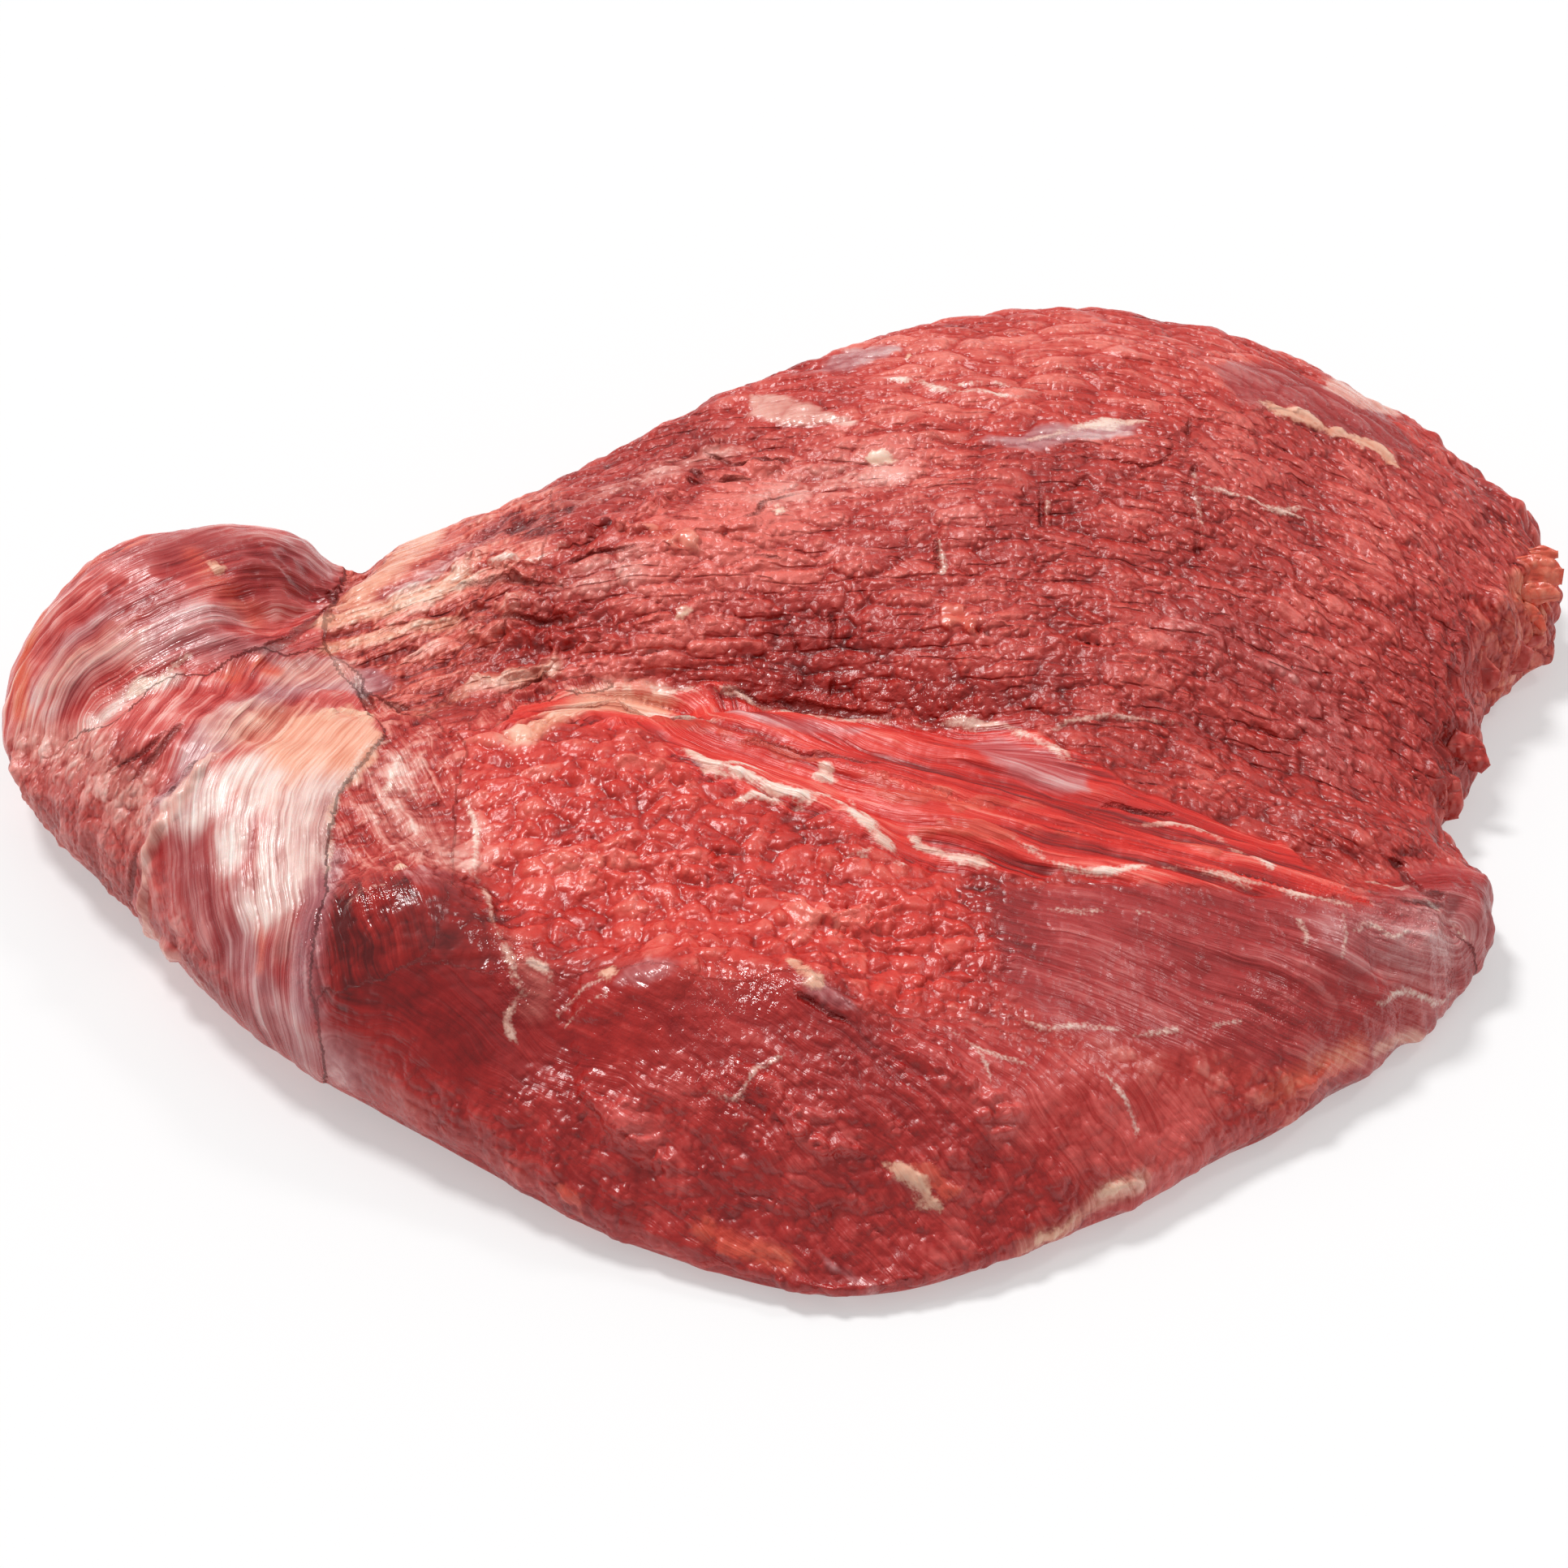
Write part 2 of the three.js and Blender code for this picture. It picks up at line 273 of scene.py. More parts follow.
# %% Where each muscle lies
REGIONS = {
    "left": [(424, 702), (408, 745), (396, 790), (440, 850), (475, 907), (440, 948), (414, 984),
             (405, 1040), (402, 1100), (392, 1160), (388, 1215), (400, 1300), (430, 1420), (300, 1500),
             (-150, 1250), (-150, 600), (200, 480), (424, 560)],
    "back": [(424, 560), (428, 700), (405, 790), (455, 850), (500, 872), (560, 900), (625, 858),
             (700, 838), (760, 842), (868, 862), (960, 885), (1091, 893), (1200, 910), (1338, 955),
             (1400, 985), (1500, 1025), (1600, 1075), (1700, 1080), (1760, 1062), (1850, 1100),
             (2100, 1000), (2100, 300), (1300, 150), (600, 300)],
    "seam": [(600, 905), (640, 872), (700, 848), (765, 838), (868, 850), (1000, 878), (1109, 890),
             (1250, 900), (1338, 930), (1385, 965), (1480, 1000), (1570, 1040), (1690, 1115),
             (1500, 1100), (1365, 1082), (1290, 1078), (1194, 1070), (1100, 1055), (1029, 1003),
             (940, 985), (860, 955), (800, 905), (700, 885)],
    "granular": [(560, 905), (640, 885), (760, 885), (846, 930), (1029, 1005), (1100, 1060), (1194, 1075),
                 (1235, 1135), (1250, 1200), (1180, 1235), (1073, 1240), (966, 1188), (850, 1195),
                 (734, 1178), (640, 1185), (600, 1150), (575, 1000)],
    "lower": [(388, 1215), (470, 1195), (600, 1195), (640, 1185), (734, 1190), (850, 1205), (966, 1195),
              (1073, 1247), (1200, 1262), (1300, 1290), (1500, 1350), (1560, 1400), (1700, 1550),
              (1400, 1800), (600, 1750), (300, 1450)],
    "lobe": [(1215, 1110), (1365, 1085), (1500, 1092), (1669, 1115), (1760, 1062), (1900, 1040),
             (1980, 1200), (1850, 1330), (1680, 1330), (1550, 1300), (1400, 1290), (1290, 1265),
             (1230, 1200)],
    "silver": [(470, 885), (480, 905), (414, 984), (402, 1100), (388, 1215), (398, 1300), (330, 1260),
               (260, 1200), (215, 1130), (205, 1040), (235, 975), (290, 925), (360, 885), (430, 868)],
    "knob": [(-150, 560), (430, 560), (424, 702), (408, 745), (396, 790), (330, 803), (280, 812),
             (210, 840), (140, 885), (60, 930), (-150, 1000)],
    "flank": [(-150, 930), (40, 900), (110, 905), (170, 925), (215, 960), (185, 1020), (165, 1098),
              (185, 1150), (225, 1190), (300, 1290), (200, 1450), (-150, 1250)],
    "crown": [(880, 520), (930, 525), (1060, 530), (1200, 550), (1430, 540), (1560, 505), (1640, 520),
              (1740, 570), (1850, 560), (1700, 430), (1480, 330), (1320, 300), (1100, 340), (900, 430)],
    "neck": [(428, 690), (405, 790), (455, 850), (520, 880), (600, 800), (650, 720), (690, 640),
             (620, 500), (430, 560)],
}
MUSCLES = ("left", "back", "seam", "granular", "lower", "lobe")
ON_LEFT = ("silver", "knob", "flank")
BORDER_WAVER = 2.2
FINE_WAVER = 0.8
LEFT_WAVER_SHARE = 0.15
BORDER_FADE = {"left": 0.8, "silver": 4, "seam": 1.5, "flank": 8, "granular": 11, "lower": 10, "lobe": 6,
               "neck": 10, "crown": 10}
USUAL_FADE = 4


def seen_from_above(pixels):
    """The places on the meat behind these pixels, as a plan in millimetres."""
    return np.array([on_meat(pixel) for pixel in pixels])[:, :2] / MM


def inside_by(outline):
    """How far each skin point lies inside a plan outline, in mm; outside is below zero."""
    x, y = points[:, 0], points[:, 1]
    away = np.full(count, np.inf)
    inside = np.zeros(count, dtype=bool)
    for a, b in zip(outline, np.roll(outline, -1, axis=0)):
        side = b - a
        share = np.clip(((x - a[0]) * side[0] + (y - a[1]) * side[1]) / (side @ side), 0, 1)
        away = np.minimum(away, np.hypot(x - a[0] - share * side[0], y - a[1] - share * side[1]))
        rise = side[1] if abs(side[1]) > 1e-9 else 1e-9
        inside ^= ((a[1] > y) != (b[1] > y)) & (x < a[0] + (y - a[1]) * side[0] / rise)
    return np.where(inside, away, -away)


border_noise = BORDER_WAVER * noise(points, 9, 21) + FINE_WAVER * noise(points, 3, 22)
cut = {}
for name, pixels in REGIONS.items():
    fade = BORDER_FADE.get(name, USUAL_FADE)
    waver = border_noise * (LEFT_WAVER_SHARE if name == "left" else 1)
    cut[name] = soft_step(inside_by(seen_from_above(pixels)) + waver, -fade / 2, fade / 2)
for name in REGIONS:
    if name in ON_LEFT:
        cut[name] = cut[name] * cut["left"]
    elif name != "left":
        cut[name] = cut[name] * (1 - cut["left"])
cut["back"] = cut["back"] * (1 - cut["seam"])
cut["crown"] = cut["crown"] * cut["back"]
cut["plain"] = np.clip(1 - sum(cut[name] for name in MUSCLES), 0, 1)
print({name: f"{100 * share.mean():.0f}%" for name, share in cut.items()})

# %% [markdown]
# ## Which way the fibres run
# Muscle is made of bundles. The back muscle is cut across them, so their ends lie in rows that
# arch over its hump. The lower part is cut along them, at a slant. The roll's fibres run with the
# edge of its silverskin and the seam's with the seam. A coordinate that follows each direction lets
# the same noise and cells draw all of these.

# %% Directions
ROLL_EDGE = [(640, 800), (570, 835), (515, 868), (475, 907), (440, 948), (414, 984), (405, 1040),
             (402, 1100), (392, 1160), (388, 1215), (400, 1300), (430, 1400)]
SEAM_LINE = [(560, 930), (640, 880), (760, 860), (900, 895), (1050, 945), (1200, 990), (1350, 1030),
             (1500, 1065), (1650, 1110), (1800, 1150)]
KNOB_FOLD = [(410, 775), (310, 806), (210, 842), (130, 886)]
BEHIND_SEAM = [(2200, 1100), (2200, 100), (500, 100)]
ARCH_RIGHT, ARCH_LEFT = 55, -20
BEND_RIGHT, BEND_LEFT = 220, 300
SLANTS = {"lower": 35, "neck": -24, "plain": 70}


def away_from(pixels):
    """How far every skin point is from a trail, in millimetres."""
    least = np.full(count, np.inf)
    for place in trail(pixels)[::4]:
        least = np.minimum(least, ((points - place) ** 2).sum(axis=1))
    return np.sqrt(least)


def drawn_out(away, width, length, seed):
    """Noise drawn out along the lines that lie at the same distance from a trail."""
    along = np.column_stack([away, points[:, 0] * 0.6, points[:, 1] + points[:, 2]])
    return noise(along, (width, length, length), seed)


roll_away = away_from(ROLL_EDGE)
knob_away = away_from(KNOB_FOLD)
seam_away = away_from(SEAM_LINE) * np.sign(inside_by(seen_from_above([*SEAM_LINE, *BEHIND_SEAM])))
arch = np.clip(points[:, 0] - ARCH_RIGHT, 0, None) ** 2 / BEND_RIGHT
arch += np.clip(ARCH_LEFT - points[:, 0], 0, None) ** 2 / BEND_LEFT
arched = wavering + arch[:, None] * np.array([0, 1, 0])


def turned(degrees):
    """Places in plan, turned so that the first axis runs along fibres that fall to the right."""
    turn = math.radians(degrees)
    along = points[:, 0] * math.cos(turn) - points[:, 1] * math.sin(turn)
    across = points[:, 0] * math.sin(turn) + points[:, 1] * math.cos(turn)
    return np.column_stack([along, across, points[:, 2]]) + 1.2 * WAVER


slanted, along_neck, steep = [turned(SLANTS[name]) for name in ("lower", "neck", "plain")]
seam_fibres = drawn_out(seam_away, 2.6, 26, 53) + 0.6 * drawn_out(seam_away, 1.4, 18, 54)
roll_fibres = drawn_out(roll_away, 2.6, 34, 57) + 0.7 * drawn_out(roll_away, 1.4, 22, 58)
knob_fibres = drawn_out(knob_away, 3.2, 30, 59) + 0.6 * drawn_out(knob_away, 1.5, 20, 60)
print("farthest from the roll's edge:", round(roll_away.max()), "mm")

# %% [markdown]
# ## Fat, tufts, clefts and ridges
# Fat lines are narrow raised threads, tufts are torn bright fibres, clefts are cuts and cracks, and
# ridges are strands and flaps that stand up. A few thin white strokes among the fat lines are
# painted glints, on the lobe's end, the bulge and the lips of cracks. Each is a stroke along a few
# pixels with a half width and a rise in millimetres. A layer keeps how deep a point lies inside its
# strokes, in millimetres, so that the material can draw a crisp but uneven edge there.

# %% The strokes
WHITE_FAT_AND_GLINTS = [
    ("main streak", 2.2, 1.0, [(848, 924), (884, 948), (932, 966), (985, 980), (1022, 984)]),
    ("main streak's upper fork", 1.0, 0.5, [(884, 948), (910, 944), (950, 955)]),
    ("main streak's fork", 1.1, 0.6, [(905, 985), (940, 978), (985, 990)]),
    ("main streak's tail", 1.6, 0.8, [(1022, 984), (1062, 1008), (1092, 1038), (1112, 1064)]),
    ("hook at the tail", 0.9, 0.5, [(1050, 990), (1080, 1018), (1075, 1042), (1052, 1048)]),
    ("streak past the hook", 1.1, 0.6, [(1129, 1041), (1175, 1057), (1222, 1067)]),
    ("fleck on the strands", 2.2, 1.4, [(1000, 944), (1014, 952), (1026, 962)]),
    ("fleck past it", 1.1, 0.8, [(1122, 1028), (1134, 1036)]),
    ("upper edge of the strand", 0.9, 0.3, [(783, 850), (883, 854), (975, 880), (1098, 890)]),
    ("pale start, white line", 0.9, 0.4, [(700, 876), (770, 880), (850, 886), (900, 892)]),
    ("long seam line", 0.8, 0.5, [(1129, 891), (1229, 896), (1298, 926), (1352, 946)]),
    ("branch of the seam line", 0.45, 0.4, [(1290, 900), (1375, 880), (1483, 891)]),
    ("edge of the strand film", 0.7, 0.4, [(1240, 905), (1290, 918), (1330, 936)]),
    ("right seam streak", 1.2, 0.7, [(1360, 1010), (1452, 1016), (1514, 1040), (1568, 1072)]),
    ("line into the lobe", 0.8, 0.4, [(1252, 1034), (1329, 1072), (1429, 1066), (1498, 1074), (1560, 1088),
        (1668, 1118)]),
    ("fleck in the lobe line", 0.7, 0.5, [(1505, 1076), (1545, 1092)]),
    ("line in the lobe", 0.2, 0.2, [(1290, 1118), (1380, 1120), (1468, 1136)]),
    ("upright lobe line", 0.3, 0.2, [(1598, 1165), (1606, 1150), (1604, 1130)]),
    ("second upright lobe line", 0.3, 0.2, [(1645, 1180), (1655, 1150), (1662, 1128)]),
    ("line by the roll", 0.8, 0.4, [(573, 985), (583, 1020), (580, 1060), (600, 1110), (612, 1150)]),
    ("side line by the roll", 0.5, 0.3, [(486, 935), (478, 962), (470, 990)]),
    ("patch under the line", 1.2, 0.4, [(608, 1152), (628, 1182), (645, 1222)]),
    ("patch's side", 1.0, 0.3, [(645, 1180), (668, 1190), (678, 1210)]),
    ("its lower end", 0.9, 0.3, [(640, 1222), (628, 1255), (640, 1290)]),
    ("edge of the silverskin", 0.8, 0.5, [(475, 909), (440, 948), (414, 985), (405, 1040), (402, 1100)]),
    ("line along the back", 0.9, 0.3, [(1068, 462), (1130, 470), (1175, 485), (1264, 493)]),
    ("second line there", 0.6, 0.2, [(1180, 478), (1240, 476), (1290, 488)]),
    ("third line there", 0.5, 0.2, [(1300, 455), (1340, 458), (1365, 475)]),
    ("streak on the back film", 1.5, 0.3, [(1272, 535), (1330, 527), (1424, 522)]),
    # The lips of the cracks are painted highlights, bright edges beside the dark cracks.
    ("painted highlight on the middle crack's lip", 0.5, 0.5, [(1291, 600), (1293, 626), (1298, 654)]),
    ("painted highlight on the left crack's lip", 0.5, 0.5, [(1151, 670), (1153, 686), (1156, 706)]),
    ("painted highlight on the right crack's lip", 0.4, 0.4, [(1474, 584), (1478, 620), (1484, 660)]),
    ("thin line in the grain", 0.8, 0.4, [(1477, 602), (1530, 612), (1580, 628), (1622, 642)]),
    ("its upper branch", 0.5, 0.3, [(1560, 628), (1600, 622), (1622, 628)]),
    ("star line", 0.3, 0.3, [(1163, 1262), (1205, 1286), (1238, 1300), (1272, 1314)]),
    ("star line's ray", 0.2, 0.2, [(1205, 1286), (1222, 1310), (1228, 1330)]),
    ("knots", 0.4, 0.4, [(868, 1342), (900, 1352), (922, 1330), (935, 1312), (958, 1300)]),
    ("knots, lower", 0.3, 0.3, [(905, 1350), (925, 1372), (915, 1392)]),
    ("dashes in the lobe", 0.3, 0.3, [(1245, 1252), (1290, 1268), (1330, 1262), (1380, 1272)]),
    ("more dashes", 0.3, 0.3, [(1395, 1276), (1450, 1270), (1530, 1262)]),
    ("cross in the lobe", 0.2, 0.3, [(1462, 1250), (1478, 1238), (1490, 1228)]),
    ("streak below the lobe", 0.35, 0.3, [(1356, 1322), (1378, 1345), (1396, 1380), (1400, 1400)]),
    # These wet lines are painted glints on the lobe's end.
    ("painted glint at the lobe's end", 0.4, 0.4, [(1655, 1098), (1690, 1084), (1722, 1096), (1744, 1086)]),
    ("second painted glint", 0.35, 0.4, [(1668, 1152), (1692, 1140), (1712, 1154), (1732, 1146)]),
    ("third painted glint", 0.4, 0.4, [(1700, 1238), (1735, 1228), (1768, 1240), (1800, 1222)]),
    ("fourth painted glint", 0.3, 0.3, [(1756, 1106), (1790, 1128), (1806, 1152)]),
    ("white of the knob", 2.0, 0.5, [(150, 868), (168, 852), (184, 838)]),
    ("white beside it", 1.0, 0.3, [(190, 850), (215, 822), (240, 806)]),
    ("white of the neck", 0.8, 0.4, [(545, 725), (590, 700), (650, 690), (700, 672)]),
    ("scratch by the hump", 0.1, 0.2, [(690, 1250), (712, 1230), (745, 1212)]),
    ("scratch beside it", 0.0, 0.2, [(700, 1262), (728, 1240), (752, 1224)]),
    # A painted glint on the bulge.
    ("painted glint on the bulge", 0.1, 0.2, [(428, 1122), (450, 1100), (470, 1092)]),
]
FAT_CREAM = [
    ("lump at the pinch", 2.4, 2.0, [(402, 882), (428, 876), (450, 890)]),
    ("band on the back", 2.0, 0.8, [(1552, 496), (1590, 504), (1640, 530), (1690, 550), (1720, 574)]),
    ("its blob", 2.8, 1.0, [(1560, 498), (1600, 512), (1628, 524)]),
    ("fleck on the rim", 1.6, 0.8, [(1110, 438), (1118, 438)]),
    ("fleck in the grain", 1.6, 1.0, [(1072, 567), (1096, 565)]),
    ("fleck by the neck", 1.6, 1.0, [(953, 634), (968, 622)]),
    ("orange fleck", 1.5, 0.8, [(835, 755), (850, 752)]),
    ("tuft on the bulge", 1.2, 0.6, [(484, 1070), (502, 1066)]),
    ("tuft on the hump", 1.2, 0.6, [(738, 1208), (758, 1202)]),
    ("tip of the brow flap", 1.6, 0.8, [(970, 1183), (990, 1196), (1012, 1210)]),
    ("shred near the front", 1.5, 1.4, [(1092, 1440), (1120, 1458), (1160, 1492)]),
    ("corner at the front edge", 1.1, 0.6, [(1262, 1532), (1300, 1518), (1340, 1490)]),
    ("corner's end", 1.2, 0.8, [(1350, 1478), (1375, 1462), (1396, 1452)]),
    ("spot on the knob", 2.2, 1.2, [(256, 694), (272, 692)]),
]
TUFTS = [
    ("tuft in the grain", 2.2, 0.9, [(1162, 745), (1180, 762), (1196, 788)]),
    ("red strands under the fat", 2.6, 0.8, [(1040, 950), (1110, 975), (1200, 990), (1290, 985)]),
    ("lower red strand", 2.4, 0.9, [(1130, 1015), (1230, 1020), (1330, 1030)]),
    ("start of the red strand", 2.6, 0.9, [(800, 882), (880, 900), (960, 925), (1010, 935)]),
    ("torn orange of the rim", 2.2, 2.0, [(1588, 1346), (1620, 1332), (1656, 1308)]),
    ("strand tip", 1.8, 0.8, [(1440, 1030), (1500, 1050), (1520, 1062)]),
    ("red beside the shred", 2.4, 1.0, [(1130, 1442), (1158, 1460), (1176, 1484)]),
    ("front rim, left", 2.0, 0.6, [(690, 1470), (705, 1482)]),
    ("front rim, middle", 2.4, 0.6, [(880, 1520), (930, 1545), (960, 1556)]),
    ("bright start of the front", 2.4, 0.4, [(770, 860), (800, 850)]),
    ("red by the neck", 2.0, 0.8, [(800, 650), (838, 668), (860, 680)]),
]
# Clefts sink the skin, and the material paints them dark red: painted shade in the cuts, cracks and gaps.
CLEFTS = [
    ("upright crack", 0.7, -1.8, [(1020, 752), (1026, 800), (1024, 862)]),
    ("second upright crack", 0.7, -1.2, [(978, 770), (984, 800), (986, 828)]),
    ("upright crack, middle", 0.6, -1.3, [(1285, 592), (1284, 622), (1287, 650)]),
    ("upright crack, right", 0.9, -1.5, [(1478, 570), (1468, 610), (1474, 650), (1480, 686)]),
    ("upright crack, upper", 0.7, -1.2, [(1470, 515), (1466, 540), (1462, 560)]),
    ("crack in the middle", 0.5, -1.2, [(1146, 662), (1146, 684), (1148, 704)]),
    ("level crack", 0.35, -1.2, [(1371, 562), (1410, 570), (1455, 556)]),
    ("level crack below", 0.4, -1.2, [(1170, 598), (1200, 590), (1232, 596)]),
    ("crack left of the middle", 0.7, -1.0, [(905, 690), (930, 684), (960, 690)]),
    ("cracks by the lit shoulder", 0.8, -1.2, [(840, 590), (880, 596), (920, 588), (950, 594)]),
    ("second of those", 0.8, -1.2, [(870, 560), (900, 572), (940, 568), (985, 566)]),
    ("third of those", 0.7, -1.0, [(905, 640), (930, 632), (955, 612), (1000, 604)]),
    ("gap under the flap", 1.2, -2.4, [(690, 694), (730, 680), (775, 678), (800, 662)]),
    ("gap under the ridge", 0.9, -2.0, [(560, 722), (620, 712), (690, 722)]),
    ("gap under the second ridge", 0.9, -2.0, [(570, 760), (640, 762), (720, 768)]),
    ("gap under the lumps", 1.2, -2.4, [(850, 578), (880, 592), (920, 588), (960, 596)]),
    ("gap beside the light strand", 0.8, -1.8, [(570, 868), (620, 852), (670, 828)]),
    ("dark under the grain's flap", 0.9, -1.6, [(1690, 1100), (1735, 1112), (1790, 1114)]),
    ("foot of the back muscle", 1.6, -1.6, [(868, 862), (960, 868), (1040, 878), (1100, 884)]),
    ("furrow under the upper strand", 1.5, -2.0, [(868, 902), (930, 918), (1000, 930), (1090, 938)]),
    ("hole at the pinch", 1.3, -2.6, [(442, 838), (452, 856), (460, 868)]),
    ("crease of the fold", 1.1, -1.6, [(238, 882), (205, 912), (178, 944), (170, 962)]),
    ("crease of the knob", 1.8, -1.8, [(420, 724), (400, 752), (372, 778), (330, 798), (300, 802)]),
    ("cleft under the brow flap", 0.8, -1.6, [(975, 1215), (1010, 1240), (1045, 1262)]),
    ("cleft by the strands", 0.5, -1.2, [(1340, 1000), (1380, 994), (1450, 1002)]),
    ("cleft at the grain's flap", 1.4, -1.8, [(1718, 1062), (1750, 1092), (1785, 1104)]),
    ("cleft beside the strap", 1.0, -1.6, [(240, 938), (203, 982), (174, 1036), (158, 1095), (170, 1150),
        (205, 1200)]),
    ("crease under the neck", 1.2, -1.2, [(470, 862), (520, 872), (560, 850)]),
    ("roll's brown crease", 0.4, -1.2, [(140, 946), (170, 930), (200, 905), (232, 880)]),
]
RIDGES = [
    ("flap by the neck", 3.0, 5.0, [(676, 682), (710, 664), (752, 650), (795, 656)]),
    ("ridge over the grain", 2.4, 3.6, [(548, 705), (605, 694), (652, 699), (705, 709)]),
    ("second ridge", 2.6, 3.8, [(553, 741), (611, 741), (689, 750), (740, 752)]),
    ("third ridge", 2.6, 3.4, [(558, 782), (637, 781), (705, 788), (770, 800)]),
    ("light strand", 2.2, 3.6, [(553, 856), (585, 847), (621, 836), (658, 815), (688, 804)]),
    ("strand by the seam", 2.4, 3.4, [(611, 874), (652, 855), (700, 835), (740, 822)]),
    ("lump behind the grain", 4.4, 4.4, [(846, 556), (868, 550), (890, 550)]),
    ("lumps beside it", 3.0, 3.8, [(925, 566), (945, 578), (966, 582)]),
    ("lump by the orange fleck", 3.4, 4.0, [(780, 640), (812, 622), (836, 600)]),
    ("ridge to the shoulder", 3.2, 3.4, [(800, 690), (850, 668), (905, 650), (950, 650)]),
    ("ridge above the strands", 2.0, 1.6, [(1120, 700), (1180, 716), (1230, 708)]),
    ("torn ridge of the grain", 2.4, 2.8, [(1160, 800), (1205, 770), (1250, 756)]),
    ("second torn ridge", 2.4, 2.6, [(1270, 800), (1320, 778), (1372, 770)]),
    ("ridge under the level crack", 2.4, 1.8, [(1300, 590), (1380, 582), (1460, 588)]),
    ("ridge at the right", 2.2, 2.0, [(1560, 660), (1620, 690), (1670, 740)]),
    ("second ridge at the right", 2.2, 2.0, [(1700, 640), (1760, 690), (1800, 750)]),
    ("ridge of the front", 3.2, 3.0, [(700, 960), (780, 940), (850, 960)]),
    ("second ridge of the front", 3.4, 3.0, [(660, 1080), (740, 1050), (820, 1060)]),
    ("third ridge of the front", 3.2, 3.0, [(960, 1120), (1050, 1130), (1140, 1110)]),
    ("slab of the lower side", 4.0, 3.4, [(1090, 1262), (1180, 1330), (1270, 1400)]),
    ("second slab", 4.0, 3.2, [(900, 1300), (980, 1370), (1060, 1440)]),
    ("third slab", 4.0, 3.2, [(700, 1320), (780, 1390), (850, 1450)]),
]
FAR = -4.0
ROOM = 5.0
RISE_SHARE = 0.5


def near_trail(path, reach):
    """The skin points within reach of a trail: which, how far away, and how far along it."""
    low, high = path.min(axis=0) - reach, path.max(axis=0) + reach
    near = np.flatnonzero(np.all((wavering > low) & (wavering < high), axis=1))
    squares = (wavering[near] ** 2).sum(axis=1)[:, None] + (path**2).sum(axis=1)[None]
    squares -= 2 * wavering[near] @ path.T
    best = squares.argmin(axis=1)
    away = np.sqrt(np.maximum(squares[np.arange(len(near)), best], 0))
    return near, away, best / (len(path) - 1)


def draw_strokes(strokes, raggedness):
    """How deep each point lies in the strokes, in mm; the skin is lifted along them."""
    layer = np.full(count, FAR)
    gaps = 0.8 + 0.35 * noise(points, 5, 30)
    edge = raggedness * (noise(points, 2.6, 31) + 0.7 * noise(points, 1.3, 32))
    edge += 1.1 * cut["seam"] * seam_fibres
    for _, half_width, rise, pixels in strokes:
        near, away, along = near_trail(trail(pixels), half_width + ROOM)
        taper = 1 - np.abs(2 * along - 1) ** 4 * 0.75
        depth = half_width * taper * gaps[near] - away + edge[near] * min(1, half_width / 2)
        layer[near] = np.maximum(layer[near], depth)
        lift[near] += RISE_SHARE * rise * taper * soft_step(depth, -0.7, 0.8 * half_width)
    return layer


lift = np.zeros(count)
layers = {
    "fat": draw_strokes(WHITE_FAT_AND_GLINTS, 0.9),
    "cream": draw_strokes(FAT_CREAM, 1.2),
    "tuft": draw_strokes(TUFTS, 1.6),
    "cleft": draw_strokes(CLEFTS, 0.5),
}
ridges = soft_step(draw_strokes(RIDGES, 2.4), -1.5, 1.5)
print("strokes lift the skin from", round(lift.min(), 1), "to", round(lift.max(), 1), "mm")

# %% [markdown]
# ## Films, veils, tones and painted light
# Silverskin and thin membranes lie over the red. A film is an outline with how much it covers, and
# a veil is a soft stroke without any edge. Broad tones lighten or darken a soft area: some are
# painted light where a slope faces the key light, some painted shade at steep feet, under flaps
# and in hollows, and the rest set the meat's own paler or duller patches. Lumps swell under a
# smooth skin, calm places lose some of their relief, and wet places gleam.

# %% Films as outlines, the others as soft strokes
FILMS = {
    "pale": [
        ("light film on the back", 0.9, [(914, 512), (928, 486), (956, 484), (1008, 499), (1064, 522),
            (1040, 525), (960, 519)]),
        ("pale film at the far rim", 0.8, [(1630, 478), (1680, 480), (1730, 505), (1724, 518),
            (1680, 506)]),
    ],
    "lilac": [
        ("film under the white streak", 0.7, [(1217, 541), (1276, 523), (1420, 519), (1401, 536),
            (1330, 548), (1257, 557)]),
        ("grey film on the rim", 0.6, [(1000, 458), (1030, 436), (1114, 422), (1116, 434), (1060, 452)]),
        ("film on the strands", 0.5, [(1170, 915), (1230, 905), (1300, 922), (1350, 955), (1345, 982),
            (1290, 975), (1220, 948)]),
        ("film on the upper strand", 0.5, [(880, 868), (960, 882), (1060, 896), (1130, 902), (1060, 912),
            (960, 902), (890, 884)]),
        ("film at the pinch", 0.75, [(333, 812), (411, 804), (472, 820), (489, 842), (456, 858),
            (411, 850), (356, 846)]),
        ("film on the hump", 0.35, [(748, 1222), (765, 1192), (800, 1180), (846, 1188), (822, 1208),
            (790, 1226)]),
        ("film on the bulge", 0.35, [(480, 1076), (520, 1068), (575, 1085), (598, 1120), (585, 1140),
            (550, 1108), (510, 1096)]),
        ("film on the brow flap", 0.5, [(966, 1186), (1000, 1196), (1050, 1228), (1078, 1256),
            (1040, 1250), (1000, 1226)]),
        ("flap at the front edge", 0.8, [(1012, 1545), (1050, 1556), (1084, 1586), (1050, 1590),
            (1020, 1570)]),
        ("back lobe's film", 0.4, [(322, 690), (340, 668), (390, 662), (420, 690), (418, 720),
            (380, 700)]),
    ],
    "plum": [
        ("dark film at the back", 0.5, [(1482, 451), (1539, 445), (1601, 458), (1651, 483), (1707, 508),
            (1752, 556), (1720, 556), (1651, 536), (1595, 506), (1526, 497)]),
    ],
    "peach": [
        ("peach fat on the roll", 0.9, [(389, 876), (433, 868), (461, 890), (474, 908), (450, 950),
            (411, 983), (366, 978), (325, 950), (330, 910), (356, 886)]),
    ],
}
